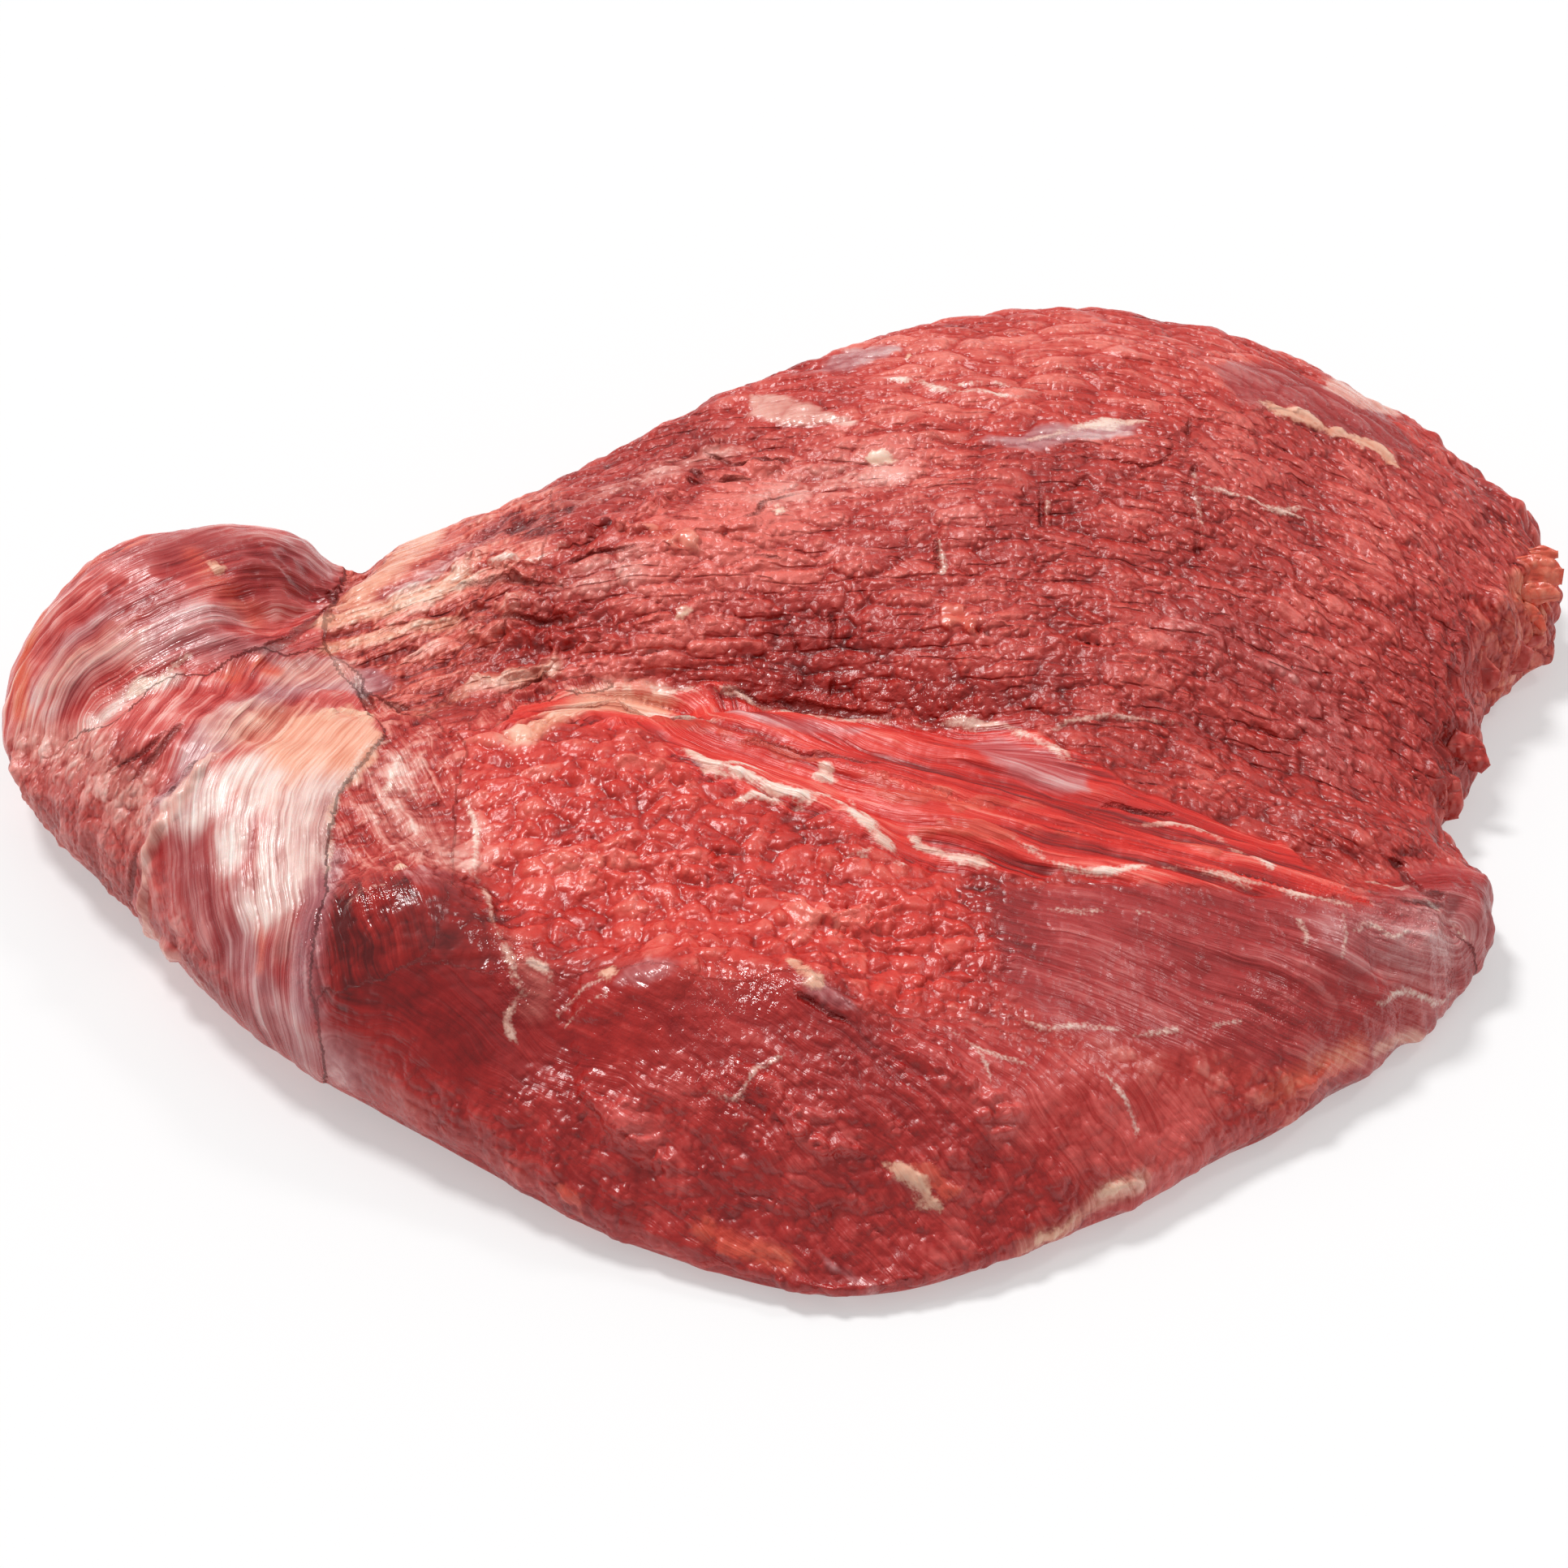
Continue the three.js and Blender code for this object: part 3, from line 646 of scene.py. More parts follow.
VEILS = {
    "white": [
        # The white of the silverskin is its own pale colour with its glare painted in, part painted
        # highlight; its sheen is a painted highlight.
        ("white of the silverskin", 1.0, 8.5, [(400, 985), (375, 1020), (355, 1060), (340, 1100)]),
        ("white below it", 0.5, 4.0, [(352, 1090), (350, 1130), (352, 1170)]),
        ("its second band", 0.7, 4.5, [(330, 960), (300, 1000), (290, 1050)]),
        ("painted sheen of the silverskin", 0.6, 5.0, [(240, 1010), (270, 975), (310, 945)]),
        ("its lower band", 0.25, 2.4, [(330, 1190), (352, 1240), (400, 1290)]),
        ("pale band of the knob", 0.6, 3.0, [(120, 890), (160, 856), (215, 836)]),
    ],
    "lilac": [
        ("edge of the silverskin", 0.9, 5.0, [(398, 1060), (388, 1120), (380, 1180), (378, 1240)]),
        ("foot of the silverskin", 0.5, 8.0, [(300, 1180), (350, 1250), (420, 1310)]),
        ("film of the knob", 0.5, 4.5, [(66, 880), (105, 826), (150, 792)]),
        ("grey film of the knob", 0.5, 4.0, [(50, 850), (90, 790), (140, 745)]),
        ("second film of the knob", 0.5, 5.0, [(180, 790), (230, 760), (290, 760)]),
        ("grey of the grain", 0.1, 14.0, [(1060, 660), (1160, 640), (1260, 680)]),
        ("grey of the grain, right", 0.2, 14.0, [(1480, 760), (1600, 840), (1640, 920)]),
        ("grey of the knob's crease", 0.5, 5.0, [(190, 800), (260, 790), (340, 800)]),
        ("veil from the pinch to the fold", 0.8, 5.0, [(380, 838), (310, 868), (255, 915), (215, 975)]),
        ("grey of the skirt", 0.5, 4.0, [(470, 740), (540, 700), (620, 640)]),
        ("haze on the right slab", 0.1, 16.0, [(1290, 1150), (1400, 1170), (1540, 1190)]),
        ("haze at the lobe's end", 0.28, 11.0, [(1650, 1150), (1730, 1160), (1800, 1140)]),
        ("pale lower left", 0.1, 12.0, [(430, 1260), (520, 1330)]),
    ],
    "ember": [
        ("orange streak of the silverskin", 0.5, 2.2, [(350, 1010), (330, 1070), (322, 1130),
            (325, 1190)]),
        ("orange rim of the knob", 0.75, 3.4, [(24, 880), (36, 800), (66, 738), (120, 690), (175, 664)]),
        ("orange of the knob", 0.45, 4.0, [(240, 680), (280, 730), (310, 760)]),
        ("orange at the pinch", 0.6, 2.6, [(286, 832), (310, 818), (336, 826)]),
        ("red front of the knob", 0.25, 6.0, [(60, 830), (110, 800), (170, 760)]),
        ("rim of the right end", 0.6, 3.0, [(1862, 650), (1890, 680), (1915, 715), (1895, 775),
            (1880, 820), (1835, 846)]),
        ("orange of the right end", 0.5, 3.6, [(1570, 1352), (1620, 1318), (1675, 1288)]),
        ("orange of the right tip", 0.6, 7.0, [(1880, 740), (1905, 715), (1925, 700)]),
        ("light side at the right", 0.3, 10.0, [(1840, 800), (1870, 760), (1890, 820)]),
        ("orange of the front rim", 0.6, 3.0, [(870, 1515), (930, 1545), (965, 1558)]),
    ],
    "plum": [
        ("bare muscle of the roll", 0.65, 9.0, [(228, 1030), (245, 1090), (285, 1165)]),
        ("bare muscle beside the band", 0.6, 5.0, [(290, 1100), (300, 1150), (330, 1210)]),
        ("dark top of the knob", 0.5, 12.0, [(200, 680), (280, 670), (350, 700), (395, 720)]),
        ("purple of the knob", 0.5, 7.0, [(90, 830), (130, 780), (190, 740)]),
        ("red lower side of the knob", 0.3, 12.0, [(60, 1000), (120, 1060), (200, 1150)]),
        ("red lower side of the roll", 0.5, 9.0, [(240, 1200), (310, 1260), (380, 1310)]),
        ("dark beside the fold", 0.6, 2.4, [(340, 872), (280, 905), (240, 950), (220, 1000)]),
    ],
    "peach": [
        ("peach veil on the roll", 0.5, 9.0, [(300, 900), (350, 890), (330, 960)]),
        ("skirt behind the neck", 0.9, 6.0, [(436, 735), (500, 680), (580, 620), (680, 565), (800, 510)]),
        ("peach strand of the neck", 0.85, 3.0, [(400, 770), (450, 752), (500, 738), (570, 712)]),
        ("second strand of the neck", 0.7, 2.4, [(410, 800), (470, 782), (560, 760)]),
        ("light strand by the seam", 0.45, 3.0, [(520, 880), (590, 846), (680, 822)]),
        ("pale start of the seam", 0.85, 4.5, [(640, 900), (690, 882), (740, 868), (810, 872)]),
        ("tan corner", 0.4, 3.0, [(1262, 1532), (1310, 1515), (1360, 1480), (1400, 1452)]),
        ("tan edge", 0.35, 2.4, [(1780, 1262), (1740, 1278), (1700, 1292)]),
    ],
    "pale": [
        ("pale pinch", 0.65, 5.5, [(350, 830), (420, 830)]),
        # The pink of the shoulder is painted light, where the slope faces the key light.
        ("painted light on the shoulder", 0.18, 10.0, [(960, 610), (1020, 590), (1090, 585)]),
        ("pink of the knob's left", 0.35, 7.0, [(70, 860), (110, 820), (150, 800)]),
        ("pale side of the knob", 0.4, 7.0, [(30, 900), (80, 920), (140, 950), (170, 1000)]),
        ("strap of the fold", 0.8, 2.2, [(262, 934), (224, 975), (192, 1030), (174, 1092), (184, 1144),
            (216, 1188), (270, 1270)]),
        ("light of the neck", 0.2, 9.0, [(460, 800), (560, 760), (660, 730), (760, 700)]),
        ("light behind the grain", 0.3, 7.0, [(640, 640), (760, 600), (880, 560)]),
        ("fibrous beside the roll", 0.35, 7.0, [(480, 950), (500, 1020), (560, 1060)]),
        ("fibrous, further right", 0.2, 5.0, [(580, 1000), (600, 1100), (640, 1160)]),
        ("pale front edge", 0.15, 6.0, [(430, 1320), (540, 1385), (640, 1440)]),
        ("light of the front's foot", 0.35, 5.0, [(608, 1150), (650, 1190), (660, 1240)]),
    ],
}
# Painted light and shade: the lit shoulder, the pink left shoulder and the light top of the back are painted
# light where the slope faces the key light, the last partly the meat's own paler colour. The steep foot of
# the back, the dark under the neck flap, the hollow behind the flap, the gap behind the lumps, the dark pits
# of the front, the dark slope of the lower side, the foot of the bulge and the dark below it are painted
# shade. The other tones lighten or darken a patch to the meat's own colour there.
PATCH_TONES_AND_PAINTED_LIGHT = [
    ("lit shoulder", 0.3, 14, [(960, 620), (1020, 590), (1090, 575)]),
    ("pink left shoulder", 0.22, 13, [(880, 660), (920, 690), (960, 660)]),
    ("light top of the back", 0.18, 18, [(1150, 440), (1300, 430), (1420, 440)]),
    ("steep foot of the back", -0.13, 13, [(930, 820), (1040, 840), (1180, 850)]),
    ("dark right of the neck", -0.08, 8, [(520, 870), (600, 820), (680, 790)]),
    ("bulge", -0.36, 14, [(440, 1140), (550, 1132)]),
    ("foot of the bulge", -0.16, 14, [(430, 1205), (520, 1210), (600, 1225)]),
    ("below the bulge", -0.08, 13, [(430, 1250), (540, 1250), (650, 1260), (740, 1280)]),
    ("bright front", 0.03, 14, [(1000, 1120), (1120, 1130), (1180, 1160)]),
    ("dark pits of the front", -0.2, 8, [(860, 1060), (940, 1080), (1010, 1040)]),
    ("dull end of the front", -0.24, 8, [(1215, 1090), (1240, 1130), (1230, 1190)]),
    ("dull of the lobe", -0.06, 12, [(1500, 1230), (1600, 1240), (1700, 1220)]),
    ("fibrous beside the roll", 0.22, 9, [(480, 960), (500, 1020), (560, 1040)]),
    ("light of the lower right", 0.22, 18, [(1280, 1340), (1360, 1370), (1430, 1400)]),
    ("light of the lobe's end", 0.16, 12, [(1690, 1200), (1760, 1190)]),
    ("light by the neck", 0.2, 12, [(780, 700), (860, 640), (930, 600)]),
    ("dark under the neck flap", -0.3, 3, [(625, 632), (660, 652), (750, 652)]),
    ("dark slope of the lower side", -0.14, 9, [(1010, 1240), (1100, 1330), (1190, 1420)]),
    ("hollow behind the flap", -0.24, 4, [(600, 652), (640, 642), (690, 626)]),
    ("gap behind the lumps", -0.3, 3, [(848, 584), (872, 604), (846, 620)]),
    ("light of the mid-left", 0.15, 14, [(680, 790), (840, 780)]),
    ("light flank", 0.08, 12, [(70, 960), (150, 990)]),
    ("dark top of the knob", -0.16, 13, [(170, 690), (260, 670), (350, 700)]),
    ("middle of the knob", -0.08, 12, [(130, 790), (230, 780), (330, 770)]),
    ("pale side of the knob", 0.1, 12, [(40, 880), (110, 850), (180, 800)]),
    ("pale bare roll", 0.14, 9, [(230, 1010), (260, 1100)]),
    ("dark strands' end", -0.2, 6, [(1400, 990), (1480, 1005)]),
    ("dull grain by the pinch", -0.1, 7, [(480, 860), (520, 840), (560, 870)]),
]
LUMPS = [
    ("bulge", 15.0, 1.5, [(440, 1160), (520, 1150)]),
    ("foot of the bulge", 15.0, 0.7, [(430, 1230), (520, 1240), (600, 1250)]),
    ("strap of the fold", 2.0, 1.5, [(262, 934), (224, 975), (192, 1030), (174, 1092), (184, 1144),
        (216, 1188)]),
    ("hump", 6.5, 1.1, [(738, 1232), (775, 1214), (816, 1200)]),
    ("foot of the hump", 8.0, 0.5, [(740, 1280), (790, 1262)]),
]
CALM = [
    ("wet hollow at the lower left", 0.4, 12, [(430, 1230), (540, 1245), (660, 1262)]),
    ("wet slope past the hump", 0.4, 9, [(760, 1290), (860, 1250), (960, 1230)]),
    ("edge below the roll", 0.5, 10, [(400, 1290), (470, 1350)]),
    ("skirt", 0.7, 7, [(450, 730), (560, 640), (680, 570)]),
    ("smooth lower right", 0.5, 15, [(1300, 1330), (1440, 1360)]),
    ("wet lobe end", 0.15, 12, [(1640, 1150), (1780, 1160)]),
]
WET = [
    ("lobe's end", 1.0, 9, [(1665, 1105), (1735, 1145), (1785, 1190)]),
    ("below the lobe", 0.6, 7, [(1540, 1245), (1640, 1262), (1740, 1245)]),
    ("crown of the bulge", 0.7, 5, [(440, 1105), (500, 1090)]),
    ("foot of the silverskin", 0.6, 6, [(372, 1140), (380, 1200)]),
    ("side of the front", 0.7, 6, [(606, 1140), (648, 1230)]),
    ("middle of the knob", 0.6, 7, [(120, 860), (200, 825)]),
    ("hollow behind the flap", 0.7, 5, [(610, 655), (690, 630)]),
    ("knots of the lower side", 0.6, 7, [(865, 1345), (930, 1340)]),
    ("wet foot of the back", 0.6, 7, [(900, 850), (1040, 860), (1180, 872)]),
    ("slope below the hump", 0.5, 9, [(760, 1260), (860, 1240), (940, 1220)]),
]
FILM_KINDS = ("pale", "lilac", "plum", "peach", "white", "ember")
FILM_FADE = (-1.5, 2.2)
FILM_CALM = 0.7
LUMP_CALM = 0.62


def soft_strokes(layer, strokes, blend=np.maximum):
    """Blends strokes into a layer; each is strongest in the middle and fades like a bell."""
    for _, amount, half_width, pixels in strokes:
        near, away, _ = near_trail(trail(pixels), 2.2 * half_width)
        layer[near] = blend(layer[near], amount * np.exp(-((away / half_width) ** 2)))


films = {kind: np.zeros(count) for kind in FILM_KINDS}
film_edge = 1.5 * noise(points, 6, 33) + 1.0 * noise(points, 2.2, 34)
for kind, outlines in FILMS.items():
    for _, cover, pixels in outlines:
        depth = inside_by(seen_from_above(pixels)) + film_edge
        films[kind] = np.maximum(films[kind], cover * soft_step(depth, *FILM_FADE))
film_over = np.max([films[kind] for kind in FILM_KINDS], axis=0)
for kind, strokes in VEILS.items():
    soft_strokes(films[kind], strokes)
films["white"] *= cut["left"]
patch_tone_and_painted_light = np.zeros(count)
soft_strokes(patch_tone_and_painted_light, PATCH_TONES_AND_PAINTED_LIGHT, np.add)
calm = FILM_CALM * film_over
lumps = np.zeros(count)
for _, half_width, height, pixels in LUMPS:
    near, away, _ = near_trail(trail(pixels), half_width + ROOM)
    depth = half_width - away + film_edge[near]
    calm[near] = np.maximum(calm[near], LUMP_CALM * soft_step(depth, -3, 5))
    lumps[near] += height * soft_step(depth, -0.15 * half_width, 0.9 * half_width)
soft_strokes(calm, CALM)
wet = np.zeros(count)
soft_strokes(wet, WET)
print("films cover", f"{100 * film_over.mean():.1f}% of the skin")

# %% [markdown]
# ## Bundles, clots and fibres
# The end of a bundle is a small dome with a cleft round it. Large bundles of about five by thirteen
# millimetres hold small ones of two. The front muscle is torn into clots, the lower one into
# slanting slabs, and the seam, the roll and the neck are fibres.

# %% The kinds of relief
CLEFT_WIDTH = 0.6


def bundles(places, size, seed, jitter=0.42):
    """Domes: the height on each from 0 to 1, the cleft beside it, which is painted dark as shade, and one
    tone for each dome.
    """
    nearest, second, tone = cells(places, np.array(size), seed, jitter)
    gap = second - nearest
    return np.sqrt(np.clip(gap / 0.7, 0, 1)), soft_step(gap, CLEFT_WIDTH / min(size), 0), tone


row_dome, row_cleft_shade, row_tone = bundles(arched, (13.0, 5.6, 7.5), 41)
grain_dome, _, _ = bundles(arched, (2.2, 2.5, 2.3), 45, 0.3)
clot_dome, clot_cleft_shade, clot_tone = bundles(wavering, (6.5, 5.0, 5.0), 49)
slab_dome, slab_cleft_shade, slab_tone = bundles(slanted, (10.0, 3.4, 4.0), 51)
swells = noise(points, 14, 61)
knots = noise(points, 4.4, 62) + 0.5 * noise(points, 2.1, 63)
bare = np.clip(cut["left"] - cut["silver"] - cut["knob"] - cut["flank"], 0, 1)
beside_roll = cut["plain"] * soft_step(roll_away, 32, 14)
neck_fibres = noise(along_neck, (24, 2.6, 8), 81) + 0.6 * noise(along_neck, (14, 1.4, 6), 82)
steep_fibres = noise(steep, (12, 2.2, 6), 83) + 0.6 * noise(steep, (8, 1.3, 5), 84)

# %% [markdown]
# ## Moving the skin
# Every kind of relief is worked out for the whole skin and then shared out by the regions. Films
# and glossy bulges stay calmer. The skin moves along its normals, and not at all on the flat rest
# face. The thin edges at the right and the front are torn, so they move in and out more.

# %% How far each point moves
RELIEF = {
    "back": 1.3 * (row_dome - 0.6) + 0.15 * (grain_dome - 0.6) + 0.7 * swells + 0.2 * knots,
    "granular": 1.5 * (clot_dome - 0.6) + 0.2 * (grain_dome - 0.6) + 0.7 * knots + 0.3 * swells,
    "plain": 0.6 * (clot_dome - 0.6) + 0.35 * (grain_dome - 0.6) + 0.3 * knots + 0.3 * seam_fibres,
    "lower": 0.6 * (slab_dome - 0.6) + 0.3 * (grain_dome - 0.6) + 0.3 * knots + 0.5 * swells,
    "lobe": 0.35 * (slab_dome - 0.6) + 0.3 * seam_fibres + 0.2 * knots,
    "seam": 0.9 * seam_fibres + 0.2 * knots,
    "neck": 0.6 * neck_fibres - 0.4 * row_dome + 0.3 * knots,
    "knob": 0.6 * knob_fibres + 0.3 * knots,
    "flank": 0.4 * (clot_dome - 0.6) + 0.5 * (grain_dome - 0.6) + 0.6 * knots,
}
EDGE_TEARS = 0.5
RIGHT_TEARS = 2.2
FRONT_TEARS = 0.9
SILVERSKIN_THICKNESS = 0.9

relief = sum(cut[name] * shape for name, shape in RELIEF.items())
relief += bare * (0.5 * roll_fibres + 0.4 * knots) + cut["silver"] * 0.25 * roll_fibres
relief += beside_roll * 0.6 * steep_fibres
lift += relief * (1 - calm) + lumps + SILVERSKIN_THICKNESS * cut["silver"] * soft_step(roll_away, 14, 2)

sideways = soft_step(np.hypot(normals[:, 0], normals[:, 1]), 0.4, 0.85)
tear_depth = EDGE_TEARS + RIGHT_TEARS * soft_step(points[:, 0], 85, 150)
tear_depth += FRONT_TEARS * soft_step(points[:, 1], -85, -140)
upright = points * np.array([1, 1, 0.3])
lift += sideways * tear_depth * (noise(upright, 7, 71) + 0.5 * noise(upright, 3.2, 72))

rests = soft_step(normals[:, 2], -0.75, -0.35) * soft_step(points[:, 2], 0.2, 2.5)
moved = points + normals * (lift * rests)[:, None]
moved[:, 2] = np.maximum(moved[:, 2], 0)
meat.data.vertices.foreach_set("co", (moved * MM).ravel())
print("relief from", round(relief.min(), 1), "to", round(relief.max(), 1), "mm")

# %% [markdown]
# ## What the material needs to know
# A named attribute holds one number for every point. The material reads the regions, the layers
# and a tone from there, so that colour and shape always agree. The tone runs from 0 in a deep
# cleft to 1 on a pale high place, and each region turns it into its own colours. Its darker clefts
# are painted shade and its paler high places painted light, besides each muscle's own patches.

# %% Keep the numbers on the mesh
COLOURED = ("back", "crown", "lower", "granular", "lobe", "neck", "seam", "left", "flank")
GRAIN_SHARE = {"back": 1.0, "crown": -0.4, "granular": 0.6, "plain": 0.7, "lower": 0.5, "lobe": 0.15,
               "neck": 0.3, "flank": 0.8}
FIBRE_SHARE = {"left": 1.0, "flank": -0.7, "neck": 0.8, "seam": 1.0, "lobe": 0.7, "lower": 0.55}
# The cleft terms paint the clefts between bundles, clots and slabs darker: painted shade. The other terms are
# each region's own tone.
TONE_AND_CLEFT_SHADE = {
    "back": 0.08 * row_tone - 0.22 * row_cleft_shade,
    "granular": 0.16 * clot_tone - 0.2 * clot_cleft_shade,
    "plain": 0.10 * clot_tone - 0.18 * clot_cleft_shade + 0.14 * seam_fibres,
    "lower": 0.08 * slab_tone - 0.07 * slab_cleft_shade,
    "lobe": 0.08 * slab_tone + 0.10 * seam_fibres,
    "seam": 0.24 * seam_fibres - 0.16,
    "crown": 0.12 * noise(arched, (20, 3, 6), 85),
    "neck": 0.20 * neck_fibres,
    "left": 0.10 * roll_fibres * (1 - cut["knob"] - cut["flank"]) + 0.1 * knots,
    "knob": 0.16 * knob_fibres,
    "flank": 0.12 * clot_tone - 0.2 * clot_cleft_shade - 0.06,
}
marked = np.max([soft_step(layers[name], -1, 0) for name in ("fat", "cream", "tuft")], axis=0)
grainy = sum(cut[name] * share for name, share in GRAIN_SHARE.items()) * (1 - calm) * (1 - marked)
# The tone is raised on high places and lowered in low ones, painted light and shade that follow the relief;
# the patch tones add painted light and shade of their own.
tone = 0.59 + patch_tone_and_painted_light + 0.08 * swells + 0.07 * noise(points, 5, 73) + 0.14 * np.clip(relief, -1, 1)
tone += sum(cut[name] * change for name, change in TONE_AND_CLEFT_SHADE.items()) * (1 - calm)
# Ridge tops are painted lighter, painted light; the fibres beside the roll are the meat's own streaks.
tone += 0.08 * ridges + 0.16 * beside_roll * steep_fibres


def keep(piece, name, values):
    """Stores one number for each point of a piece."""
    layer = piece.data.attributes.new(name, "FLOAT", "POINT")
    layer.data.foreach_set("value", np.asarray(values, dtype=np.float32))


for name in COLOURED:
    keep(meat, name, cut[name])
for name, layer in [*layers.items(), *films.items()]:
    keep(meat, name, layer)
fibrous = 0.9 * beside_roll + sum(cut[name] * share for name, share in FIBRE_SHARE.items())
fibrous = np.minimum(fibrous + 0.45 * cut["crown"], 1)
fibrous *= 1 - 0.6 * soft_step(calm, 0.6, 0.9) * (1 - cut["left"])
directions = [
    (cut["knob"] > 0.5, knob_away),
    (cut["left"] > 0.5, roll_away),
    (cut["neck"] > 0.5, along_neck[:, 1]),
    (beside_roll > 0.3, steep[:, 1]),
    (cut["lower"] > 0.5, slanted[:, 1]),
    (cut["crown"] > 0.5, arched[:, 1]),
]
chosen, away = [list(side) for side in zip(*directions)]
others = {"tone": tone, "grainy": grainy, "calm": calm, "wet": wet, "arch": arch,
          "fibrous": fibrous, "fibre_away": np.select(chosen, away, seam_away)}
for name, values in others.items():
    keep(meat, name, values)
print("attributes:", len(meat.data.attributes), "and the tone lies about", round(float(tone.mean()), 2))

# %% [markdown]
# ## Four pieces
# The fine skin has too many triangles for one piece, so it is cut by three upright planes into four
# with about as many points each. Every cut is closed with a flat face, and its rim is marked sharp
# so that the shading of the skin isn't bent there.

# %% Cut the body
PIECE_NAMES = ("meat_roll", "meat_neck", "meat_middle", "meat_right")

meat.data.shade_smooth()
planes = [-1, *np.quantile(points[:, 0], (0.25, 0.5, 0.75)) * MM, 1]
meat_pieces = []
for name, left_plane, right_plane in zip(PIECE_NAMES, planes, planes[1:]):
    work = bmesh.new()
    work.from_mesh(meat.data)
    for place, facing in ((left_plane, -1), (right_plane, 1)):
        if abs(place) < 1:
            cut_and_close(work, (place, 0, 0), (facing, 0, 0))
    bmesh.ops.triangulate(work, faces=work.faces)
    piece = new_piece(name, work)
    meat_pieces.append(piece)
    print(name, "has", len(piece.data.polygons), "triangles")
bpy.data.objects.remove(meat)

# %% [markdown]
# ## Tools for materials
# A material is a tree of nodes. These helpers add one node and wire its inputs, so that each
# finish below reads as a short recipe.

# %% Node helpers


def wire(tree, made, inputs):
    """Gives each named input of a node a value or another node's output."""
    for place, value in inputs.items():
        if isinstance(value, bpy.types.NodeSocket):
            tree.links.new(value, made.inputs[place])
        else:
            made.inputs[place].default_value = value


def add_node(tree, kind, inputs=None, output=0, **settings):
    """Adds a node with its settings and inputs, and returns one of its outputs."""
    made = tree.nodes.new(kind)
    for name, value in settings.items():
        setattr(made, name, value)
    wire(tree, made, inputs or {})
    return made.outputs[output]


def paint(red, green, blue):
    """A colour as a picture editor gives it, from 0 to 255, as the linear colour a node takes."""
    shares = [part / 255 for part in (red, green, blue)]
    return (*[s / 12.92 if s <= 0.04045 else ((s + 0.055) / 1.055) ** 2.4 for s in shares], 1)


def maths(tree, operation, *values, clamp=False):
    return add_node(tree, "ShaderNodeMath", dict(enumerate(values)), operation=operation, use_clamp=clamp)


def add_scaled(tree, value, scale, base):
    return maths(tree, "MULTIPLY_ADD", value, scale, base)


def step_node(tree, value, low, high, to_low=0.0, to_high=1.0):
    """A soft step of a value from low to high."""
    inputs = {0: value, 1: low, 2: high, 3: to_low, 4: to_high}
    return add_node(tree, "ShaderNodeMapRange", inputs, interpolation_type="SMOOTHSTEP")


def mix(tree, share, first, second):
    return add_node(tree, "ShaderNodeMix", {0: share, 6: first, 7: second}, output=2, data_type="RGBA")


def ramp(tree, value, colours, places=(0.0, 0.35, 0.65, 1.0)):
    """A colour for each value from 0 to 1, blended between a few given ones."""
    colour = add_node(tree, "ShaderNodeValToRGB", {0: value})
    stops = colour.node.color_ramp.elements
    while len(stops) < len(places):
        stops.new(0.5)
    for stop, place, shade in zip(stops, places, colours):
        stop.position = place
        stop.color = paint(*shade)
    return colour


def attribute(tree, name):
    return add_node(tree, "ShaderNodeAttribute", output=2, attribute_name=name)


def noise_node(tree, vector, scale, detail=2.0, roughness=0.5):
    inputs = {"Vector": vector, "Scale": scale, "Detail": detail, "Roughness": roughness}
    return add_node(tree, "ShaderNodeTexNoise", inputs)


def object_mm(tree):
    """The place on the piece, in millimetres."""
    place = add_node(tree, "ShaderNodeTexCoord", output=3)
    return add_node(tree, "ShaderNodeVectorMath", {0: place, 3: 1 / MM}, operation="SCALE")


def new_group(name, inputs, outputs):
    """A node group with named sockets: (name, kind, value) for inputs and (name, kind) for outputs."""
    group = bpy.data.node_groups.new(name, "ShaderNodeTree")
    for label, kind, value in inputs:
        socket = group.interface.new_socket(label, in_out="INPUT", socket_type=kind)
        if value is not None:
            socket.default_value = value
    for label, kind in outputs:
        group.interface.new_socket(label, in_out="OUTPUT", socket_type=kind)
    return group, group.nodes.new("NodeGroupInput").outputs, group.nodes.new("NodeGroupOutput").inputs


def group_node(tree, group, inputs):
    made = tree.nodes.new("ShaderNodeGroup")
    made.node_tree = group
    wire(tree, made, inputs)
    return made.outputs


def new_material(name):
    """A new material, with its tree and its shader."""
    material = bpy.data.materials.new(name)
    material.use_nodes = True
    return material, material.node_tree, material.node_tree.nodes["Principled BSDF"]


FLOAT, VECTOR = "NodeSocketFloat", "NodeSocketVector"

# %% [markdown]
# ## Bundle ends
# Cut muscle shows the ends of its fibre bundles: wet pebbles of about two millimetres, each with a
# dark cleft round it and a glint of its own. A Voronoi texture gives such cells, and a soft step of
# the distance from a cell's centre makes a round pebble. The same step darkens the tone towards
# each pebble's rim, painted shade in its cleft. Noise bends the cells and lets them fade in and out.

# %% The grain group
SWIRLS = ((0.15, 1.8), (0.6, 0.6))

grain, given, made = new_group(
    "bundle_ends", [("Place", VECTOR, None), ("Cell width", FLOAT, 2.2)], [("Height", FLOAT), ("Tone", FLOAT)]
)
bent = given["Place"]
for scale, reach in SWIRLS:
    inputs = {"Vector": given["Place"], "Scale": scale, "Detail": 1.0}
    swirl = add_node(grain, "ShaderNodeTexNoise", inputs, output=1)
    inputs = {0: swirl, 1: (reach,) * 3, 2: bent}
    bent = add_node(grain, "ShaderNodeVectorMath", inputs, operation="MULTIPLY_ADD")
density = maths(grain, "DIVIDE", 1.0, given["Cell width"])
drawn = add_node(grain, "ShaderNodeMapping", {0: bent, 3: (1.1, 0.9, 0.9)})
from_centre = add_node(grain, "ShaderNodeTexVoronoi", {"Vector": drawn, "Scale": density, "Randomness": 0.75})
fine = noise_node(grain, given["Place"], 0.8, 3.0, 0.6)
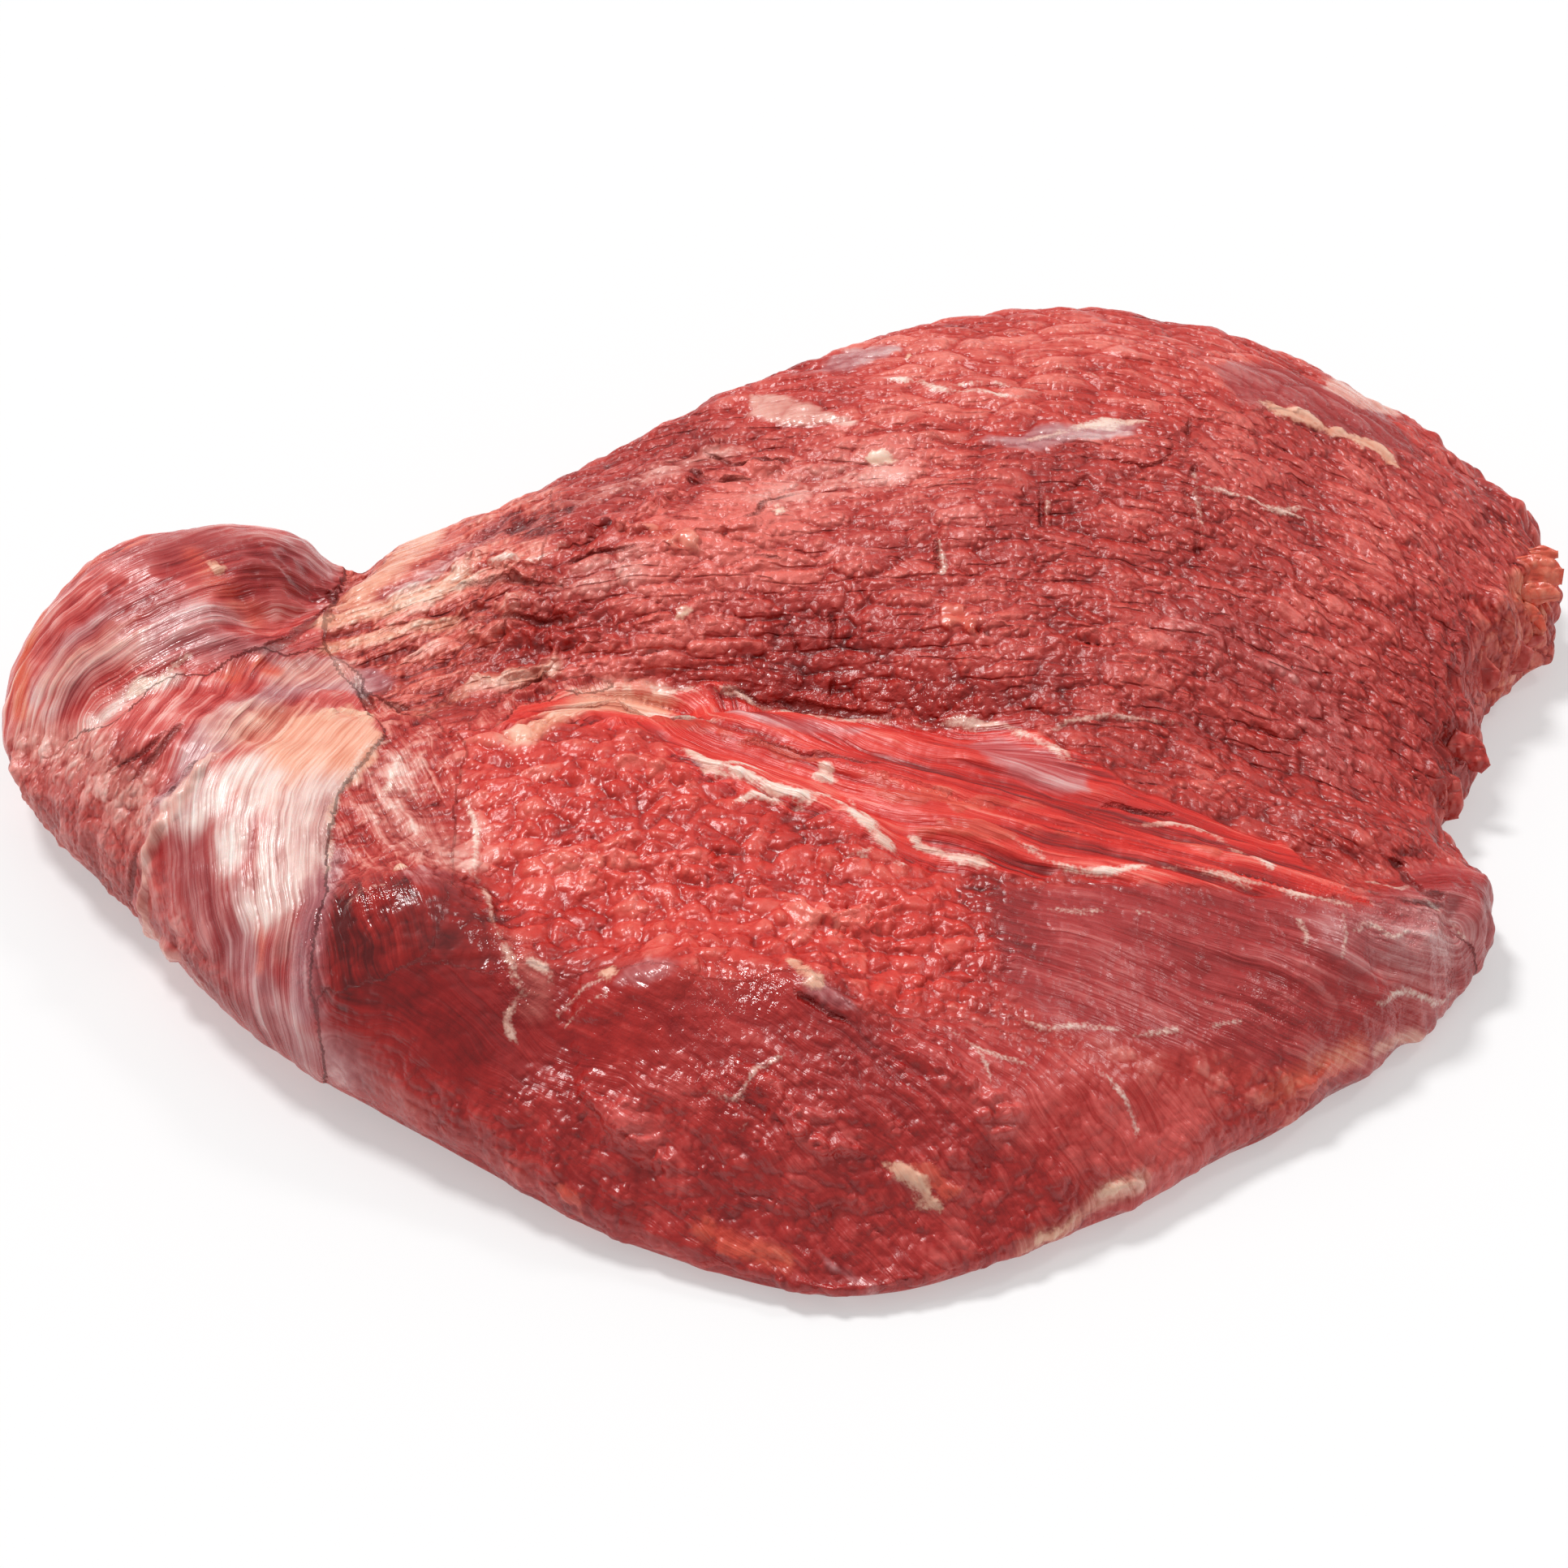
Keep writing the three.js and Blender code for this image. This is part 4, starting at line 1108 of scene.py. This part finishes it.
coarse = noise_node(grain, given["Place"], 0.16, 2.0, 0.5)
pebble = step_node(grain, from_centre, 0.0, 0.75, 0.0, -1.0)
strength = step_node(grain, coarse, 0.3, 0.65, 0.5, 1.3)
pebble = maths(grain, "MULTIPLY", pebble, strength)
grain.links.new(add_scaled(grain, pebble, 1.05, maths(grain, "MULTIPLY", fine, 0.4)), made["Height"])
# Each pebble is painted darker towards its rim: painted shade in the cleft round it.
tone = add_scaled(grain, pebble, 0.24, 0.06)
grain.links.new(add_scaled(grain, fine, 0.35, tone), made["Tone"])
print("group:", grain.name)

# %% [markdown]
# ## Drawn-out fibres
# Silverskin and seam fibres are long and thin. Noise that is squeezed across and stretched along a
# direction gives such streaks. The direction comes from outside, as a distance that is counted
# across the fibres.

# %% The fibre group
fibre, given, made = new_group(
    "drawn_fibres",
    [("Place", VECTOR, None), ("Away", FLOAT, 0.0), ("Width", FLOAT, 1.2), ("Length", FLOAT, 20.0)],
    [("Streaks", FLOAT), ("Threads", FLOAT)],
)
parts = add_node(fibre, "ShaderNodeSeparateXYZ", {0: given["Place"]}).node
waver = noise_node(fibre, given["Place"], 0.09, 1.0)
wide = maths(fibre, "MULTIPLY_ADD", waver, 2.0, given["Away"])
long_x = maths(fibre, "DIVIDE", parts.outputs[0], given["Length"])
long_y = maths(fibre, "DIVIDE", parts.outputs[1], given["Length"])
for label, share in (("Streaks", 1.0), ("Threads", 0.4)):
    narrow = maths(fibre, "DIVIDE", wide, maths(fibre, "MULTIPLY", given["Width"], share))
    along = add_node(fibre, "ShaderNodeCombineXYZ", {0: narrow, 1: long_x, 2: long_y})
    fibre.links.new(noise_node(fibre, along, 1.0, 2.0, 0.6), made[label])
print("group:", fibre.name)

# %% [markdown]
# ## Long row lines
# Between the rows of bundle ends run thin creases that arch over the hump; the material sinks them
# and paints them darker, as painted shade. They are the creases of a folded distance across the
# rows, bent by drawn-out noise and faded out in places.

# %% The row group
ROW_STEP = 5.4
LINE_SHARE = 0.2

rows, given, made = new_group("row_lines", [("Place", VECTOR, None)], [("Line", FLOAT)])
parts = add_node(rows, "ShaderNodeSeparateXYZ", {0: given["Place"]}).node
drawn = add_node(rows, "ShaderNodeMapping", {0: given["Place"], 3: (0.03, 0.11, 0.11)})
bend = noise_node(rows, drawn, 1.0, 3.0, 0.6)
across = add_scaled(rows, parts.outputs[2], 0.8, parts.outputs[1])
phase = add_scaled(rows, across, 1 / ROW_STEP, maths(rows, "MULTIPLY", bend, 3.0))
crease = step_node(rows, maths(rows, "PINGPONG", phase, 0.5), 0.0, LINE_SHARE, 1.0, 0.0)
fading = step_node(rows, noise_node(rows, given["Place"], 0.12, 3.0, 0.7), 0.38, 0.64)
rows.links.new(maths(rows, "MULTIPLY", crease, fading), made["Line"])
print("group:", rows.name)

# %% [markdown]
# ## The meat's finish
# Fresh meat is a dark, moist red. Its clefts are painted almost brown, as painted shade, and the
# tops of the bundles pale and pink, partly the meat's own colour and partly painted light. Each
# region has its own run of four colours from deep to high, and the tone on the mesh picks from it,
# stirred by the fine grain and the fibres. Films lie over that as thin veils, one with a painted
# sheen, and fat lines over the films, a few of them painted glints. A little subsurface light keeps
# the red soft.

# %% The colours of each region, from deep to high
SHADES = {
    "plain": [(91, 7, 7), (155, 26, 22), (191, 58, 50), (233, 144, 130)],
    "back": [(107, 12, 10), (157, 30, 24), (187, 54, 46), (229, 108, 96)],
    "crown": [(113, 10, 7), (171, 34, 26), (201, 60, 50), (235, 122, 108)],
    "lower": [(88, 6, 6), (146, 19, 19), (176, 39, 35), (216, 91, 85)],
    "granular": [(114, 10, 8), (184, 34, 26), (214, 62, 51), (240, 122, 106)],
    "lobe": [(95, 8, 10), (143, 26, 26), (173, 50, 50), (211, 110, 106)],
    "neck": [(124, 21, 19), (190, 65, 55), (226, 111, 95), (250, 169, 151)],
    "seam": [(124, 7, 7), (204, 32, 24), (228, 64, 52), (248, 148, 132)],
    "flank": [(108, 15, 13), (168, 49, 43), (202, 89, 81), (236, 149, 139)],
    "left": [(108, 11, 13), (172, 37, 37), (214, 91, 85), (252, 189, 179)],
}
FILM_SHADES = {
    "plum": [(84, 12, 18), (130, 32, 36), (160, 58, 60), (206, 124, 120)],
    "lilac": [(122, 50, 58), (170, 94, 98), (202, 144, 144), (236, 204, 200)],
    "pale": [(160, 70, 62), (208, 124, 112), (232, 168, 154), (246, 210, 198)],
    "ember": [(150, 24, 18), (206, 60, 42), (226, 98, 72), (242, 158, 130)],
    "peach": [(190, 92, 70), (226, 140, 112), (243, 178, 152), (250, 212, 192)],
    "white": [(166, 96, 92), (212, 156, 148), (240, 208, 198), (253, 238, 230)],
}
CLEFT_SHADE_RED = paint(96, 14, 12)
TUFT_RED = [(140, 24, 18), (200, 62, 46), (222, 92, 72), (240, 150, 128)]
CREAM = [(206, 110, 86), (228, 156, 128), (240, 190, 162), (248, 218, 196)]
FAT_AND_GLINT_WHITE = [(214, 140, 122), (236, 190, 172), (246, 216, 200), (252, 236, 224)]

PEBBLE_WIDTH = 2.3
FIBRE_WIDTH = 1.2
FIBRE_LENGTH = 20.0
BUMP_DEPTH = 0.6 * MM
LEAST_DULL = 0.12
GLOSSIEST = 0.07

meat_finish, tree, shader = new_material("raw_meat")
place = object_mm(tree)
arch_push = add_node(tree, "ShaderNodeCombineXYZ", {1: attribute(tree, "arch")})
arched_place = add_node(tree, "ShaderNodeVectorMath", {0: place, 1: arch_push}, operation="ADD")
grain_out = group_node(tree, grain, {"Place": arched_place, "Cell width": PEBBLE_WIDTH})
grainy = add_scaled(tree, attribute(tree, "grainy"), 0.9, 0.1)
row_line = group_node(tree, rows, {"Place": arched_place})["Line"]
row_line = maths(tree, "MULTIPLY", row_line, maths(tree, "MULTIPLY", attribute(tree, "back"), grainy))
fibre_given = {"Place": place, "Away": attribute(tree, "fibre_away")}
fibre_out = group_node(tree, fibre, {**fibre_given, "Width": FIBRE_WIDTH, "Length": FIBRE_LENGTH})
edge_noise = add_scaled(tree, noise_node(tree, place, 1.4, 3.0), 2.0, -1.0)

fibrous = attribute(tree, "fibrous")
level = add_scaled(tree, maths(tree, "MULTIPLY", grain_out["Tone"], grainy), 1.0, attribute(tree, "tone"))
streaks = add_scaled(tree, fibre_out["Threads"], 0.6, add_scaled(tree, fibre_out["Streaks"], 1.0, -0.8))
level = add_scaled(tree, maths(tree, "MULTIPLY", fibrous, streaks), 1.0, level)
# Row lines are painted darker here: painted shade in the creases between the rows.
level = add_scaled(tree, row_line, -0.15, level)

colour = ramp(tree, level, SHADES["plain"])
for name in COLOURED:
    colour = mix(tree, attribute(tree, name), colour, ramp(tree, level, SHADES[name]))
for name, shades in FILM_SHADES.items():
    film = attribute(tree, name)
    streaky = add_scaled(tree, maths(tree, "SUBTRACT", level, 0.55), 0.45, film)
    share = maths(tree, "MULTIPLY", step_node(tree, streaky, 0.05, 0.8), step_node(tree, film, 0, 0.25))
    colour = mix(tree, share, colour, ramp(tree, level, shades))
# Clefts are painted dark red: painted shade.
cleft_share = step_node(tree, add_scaled(tree, edge_noise, 0.35, attribute(tree, "cleft")), -0.7, 0.5)
colour = mix(tree, maths(tree, "MULTIPLY", cleft_share, 0.6), colour, CLEFT_SHADE_RED)
marks = {}
# The fat layer also holds a few painted glints, which take the fat's white.
for name, shades, cover in (("tuft", TUFT_RED, 0.75), ("cream", CREAM, 0.9), ("fat", FAT_AND_GLINT_WHITE, 0.92)):
    ragged = maths(tree, "ADD", attribute(tree, name), edge_noise)
    marks[name] = step_node(tree, ragged, -0.7, 0.7)
    colour = mix(tree, maths(tree, "MULTIPLY", marks[name], cover), colour, ramp(tree, level, shades))
tree.links.new(colour, shader.inputs["Base Color"])

height = maths(tree, "MULTIPLY", grain_out["Height"], grainy)
height = add_scaled(tree, row_line, -0.85, height)
height = add_scaled(tree, cleft_share, -1.2, height)
height = add_scaled(tree, maths(tree, "MULTIPLY", fibrous, streaks), 0.9, height)
height = maths(tree, "MULTIPLY", height, add_scaled(tree, attribute(tree, "calm"), -0.75, 1.0))
crinkles = maths(tree, "MULTIPLY", attribute(tree, "wet"), noise_node(tree, place, 0.5, 3.0, 0.6))
height = add_scaled(tree, crinkles, 1.6, height)
bump = add_node(tree, "ShaderNodeBump", {"Height": height, "Distance": BUMP_DEPTH, "Strength": 1.0})
tree.links.new(bump, shader.inputs["Normal"])
dullness = add_scaled(tree, noise_node(tree, place, 0.25, 3.0), 0.3, LEAST_DULL)
dullness = add_scaled(tree, grainy, 0.1, dullness)
for name, change in (("seam", 0.12), ("calm", -0.1), ("wet", -0.2)):
    dullness = add_scaled(tree, attribute(tree, name), change, dullness)
dullness = maths(tree, "MAXIMUM", dullness, GLOSSIEST)
tree.links.new(add_scaled(tree, marks["cream"], 0.1, dullness), shader.inputs["Roughness"])
shader.inputs["IOR"].default_value = 1.45
shader.inputs["Specular IOR Level"].default_value = 0.62
shader.inputs["Subsurface Weight"].default_value = 0.12
shader.inputs["Subsurface Radius"].default_value = (1.0, 0.25, 0.15)
shader.inputs["Subsurface Scale"].default_value = 1.6 * MM
for piece in meat_pieces:
    piece.data.materials.clear()
    piece.data.materials.append(meat_finish)
print("meat material:", len(tree.nodes), "nodes")

# %% [markdown]
# ## Torn tongues at the edges
# Where the cut was trimmed, flat tongues of meat stick out of the thin right and front edges. Each
# is a closed tapering tube that starts inside the meat and ends just past its outline. It lies in
# the picture plane through its root, so it shows where the photograph has it. The tongues wear the
# meat's finish, which reads the same named numbers from them.

# %% The tongues
RING_POINTS = 16
RINGS = 18
DEEP_ROOT = 5 * MM
TONGUES = {
    "back": [
        ("lower tooth of the right end", 5.0, 1.0, [(1845, 795), (1868, 806), (1886, 814)]),
        ("small point of it", 1.2, 0.6, [(1880, 790), (1892, 788), (1903, 786)]),
        ("foot of the right end", 4.0, 1.0, [(1812, 815), (1826, 832), (1838, 850)]),
        ("flap of the side", 3.6, 1.0, [(1786, 912), (1812, 928), (1831, 948)]),
        ("smooth flap below it", 4.2, 1.2, [(1768, 958), (1784, 984), (1790, 1010)]),
    ],
    "ember": [
        ("right tip", 4.4, 1.0, [(1862, 708), (1896, 706), (1926, 710)]),
        ("upper tooth of the tip", 2.2, 0.8, [(1872, 688), (1898, 684), (1920, 683)]),
        ("lower tooth of the tip", 2.4, 0.8, [(1872, 728), (1900, 732), (1922, 736)]),
        ("shred below the tip", 1.6, 0.6, [(1874, 748), (1892, 760), (1904, 778)]),
    ],
    "lower": [
        ("curl of the front edge", 1.8, 0.9, [(690, 1450), (698, 1470), (712, 1482)]),
        ("front tongue", 4.0, 1.0, [(920, 1525), (956, 1550), (988, 1574)]),
    ],
}
TONGUE_NUMBERS = {"wet": 0.0, "tone": 0.62, "grainy": 0.8, "calm": 0.2, **dict.fromkeys(layers, FAR)}


def picture_place(pixel, root):
    """Where the ray through a pixel meets the plane through the root that faces the camera."""
    return camera.location + ray_through(pixel) * (camera.location - root).dot(toward_camera)


def add_tongue(work, half_width, half_height, pixels):
    """Adds one closed tongue to a bmesh."""
    root = on_meat(pixels[0]) - toward_camera * DEEP_ROOT
    path = [Vector(place) for place in curve_through([picture_place(pixel, root) for pixel in pixels])]
    rings = []
    for number, along in enumerate(np.linspace(0, len(path) - 1.001, RINGS)):
        low = int(along)
        middle = path[low].lerp(path[low + 1], along - low)
        side = (path[low + 1] - path[low]).normalized().cross(toward_camera)
        share = number / (RINGS - 1)
        wide = half_width * MM * max(0.25, 1 - share**3) ** 0.7
        tall = half_height * MM * math.sqrt(max(0.03, 1 - share**2))
        ring = []
        for angle in np.linspace(0, 2 * math.pi, RING_POINTS, endpoint=False):
            ring.append(middle + side * wide * math.cos(angle) + toward_camera * tall * math.sin(angle))
        shares = 1 + 0.45 * noise(np.array(ring) / MM, 2.8, 91)
        ring = [middle + (spot - middle) * float(share) for spot, share in zip(ring, shares)]
        rings.append([work.verts.new((spot.x, spot.y, max(spot.z, 0.2 * MM))) for spot in ring])
    for first, second in zip(rings, rings[1:]):
        for step in range(RING_POINTS):
            after = (step + 1) % RING_POINTS
            work.faces.new((first[step], first[after], second[after], second[step]))
    work.faces.new(list(reversed(rings[0])))
    work.faces.new(rings[-1])


tongue_pieces = []
for kind, tongues in TONGUES.items():
    work = bmesh.new()
    for _, half_width, half_height, pixels in tongues:
        add_tongue(work, half_width, half_height, pixels)
    bmesh.ops.recalc_face_normals(work, faces=work.faces)
    piece = new_piece(f"tongues_{kind}", work)
    piece.data.shade_smooth()
    piece.data.materials.append(meat_finish)
    for name, value in {**TONGUE_NUMBERS, "back": 1.0, kind: 0.6}.items():
        keep(piece, name, np.full(len(piece.data.vertices), value))
    tongue_pieces.append(piece)
    print(piece.name, "has", len(tongues), "tongues")

# %% [markdown]
# ## Floor and light
# A product shot has a near white table that glows a little, one soft key light high at the left
# and behind, and a bright room that fills the shadows. Suns light the whole floor evenly, which
# lamps near the meat can't, and a sun with a wide disc gives the soft shadow of a large softbox.

# %% Floor
FLOOR_HALF = 5.0

work = bmesh.new()
bmesh.ops.create_grid(work, x_segments=1, y_segments=1, size=FLOOR_HALF)
floor = new_piece("pale_floor", work)
floor_finish, tree, shader = new_material("pale_floor")
shader.inputs["Base Color"].default_value = (0.49, 0.49, 0.49, 1)
shader.inputs["Emission Color"].default_value = (1, 1, 1, 1)
shader.inputs["Emission Strength"].default_value = 0.42
shader.inputs["Roughness"].default_value = 0.7
shader.inputs["Specular IOR Level"].default_value = 0.0
floor.data.materials.append(floor_finish)

# %% Lights
scene = bpy.context.scene
scene.view_settings.view_transform = "Standard"
room = bpy.data.worlds.new("bright_room")
room.use_nodes = True
room.node_tree.nodes["Background"].inputs["Color"].default_value = (1, 1, 1, 1)
room.node_tree.nodes["Background"].inputs["Strength"].default_value = 0.40
scene.world = room


def soft_sun(name, source, strength, disc):
    """A wide sun that shines from a place towards the meat; the disc is in degrees."""
    lamp = bpy.data.lights.new(name, "SUN")
    lamp.energy = strength
    lamp.angle = math.radians(disc)
    light = bpy.data.objects.new(name, lamp)
    bpy.context.collection.objects.link(light)
    light.location = source
    light.rotation_euler = (-Vector(source)).to_track_quat("-Z", "Y").to_euler()
    return light


soft_sun("key_light", (-0.4, 0.42, 1.0), 2.3, 13)
soft_sun("side_light", (0.6, 0.4, 0.8), 0.4, 10)
soft_sun("overhead_light", (0.1, 0.1, 1.0), 0.2, 70)

# %% [markdown]
# ## Attaching the pieces
# The body's four pieces and the tongues stand for the imported solid and ride on its only body.

# %% Finish
for piece in [*meat_pieces, *tongue_pieces]:
    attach(piece, "root")
    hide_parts("rib_cap")
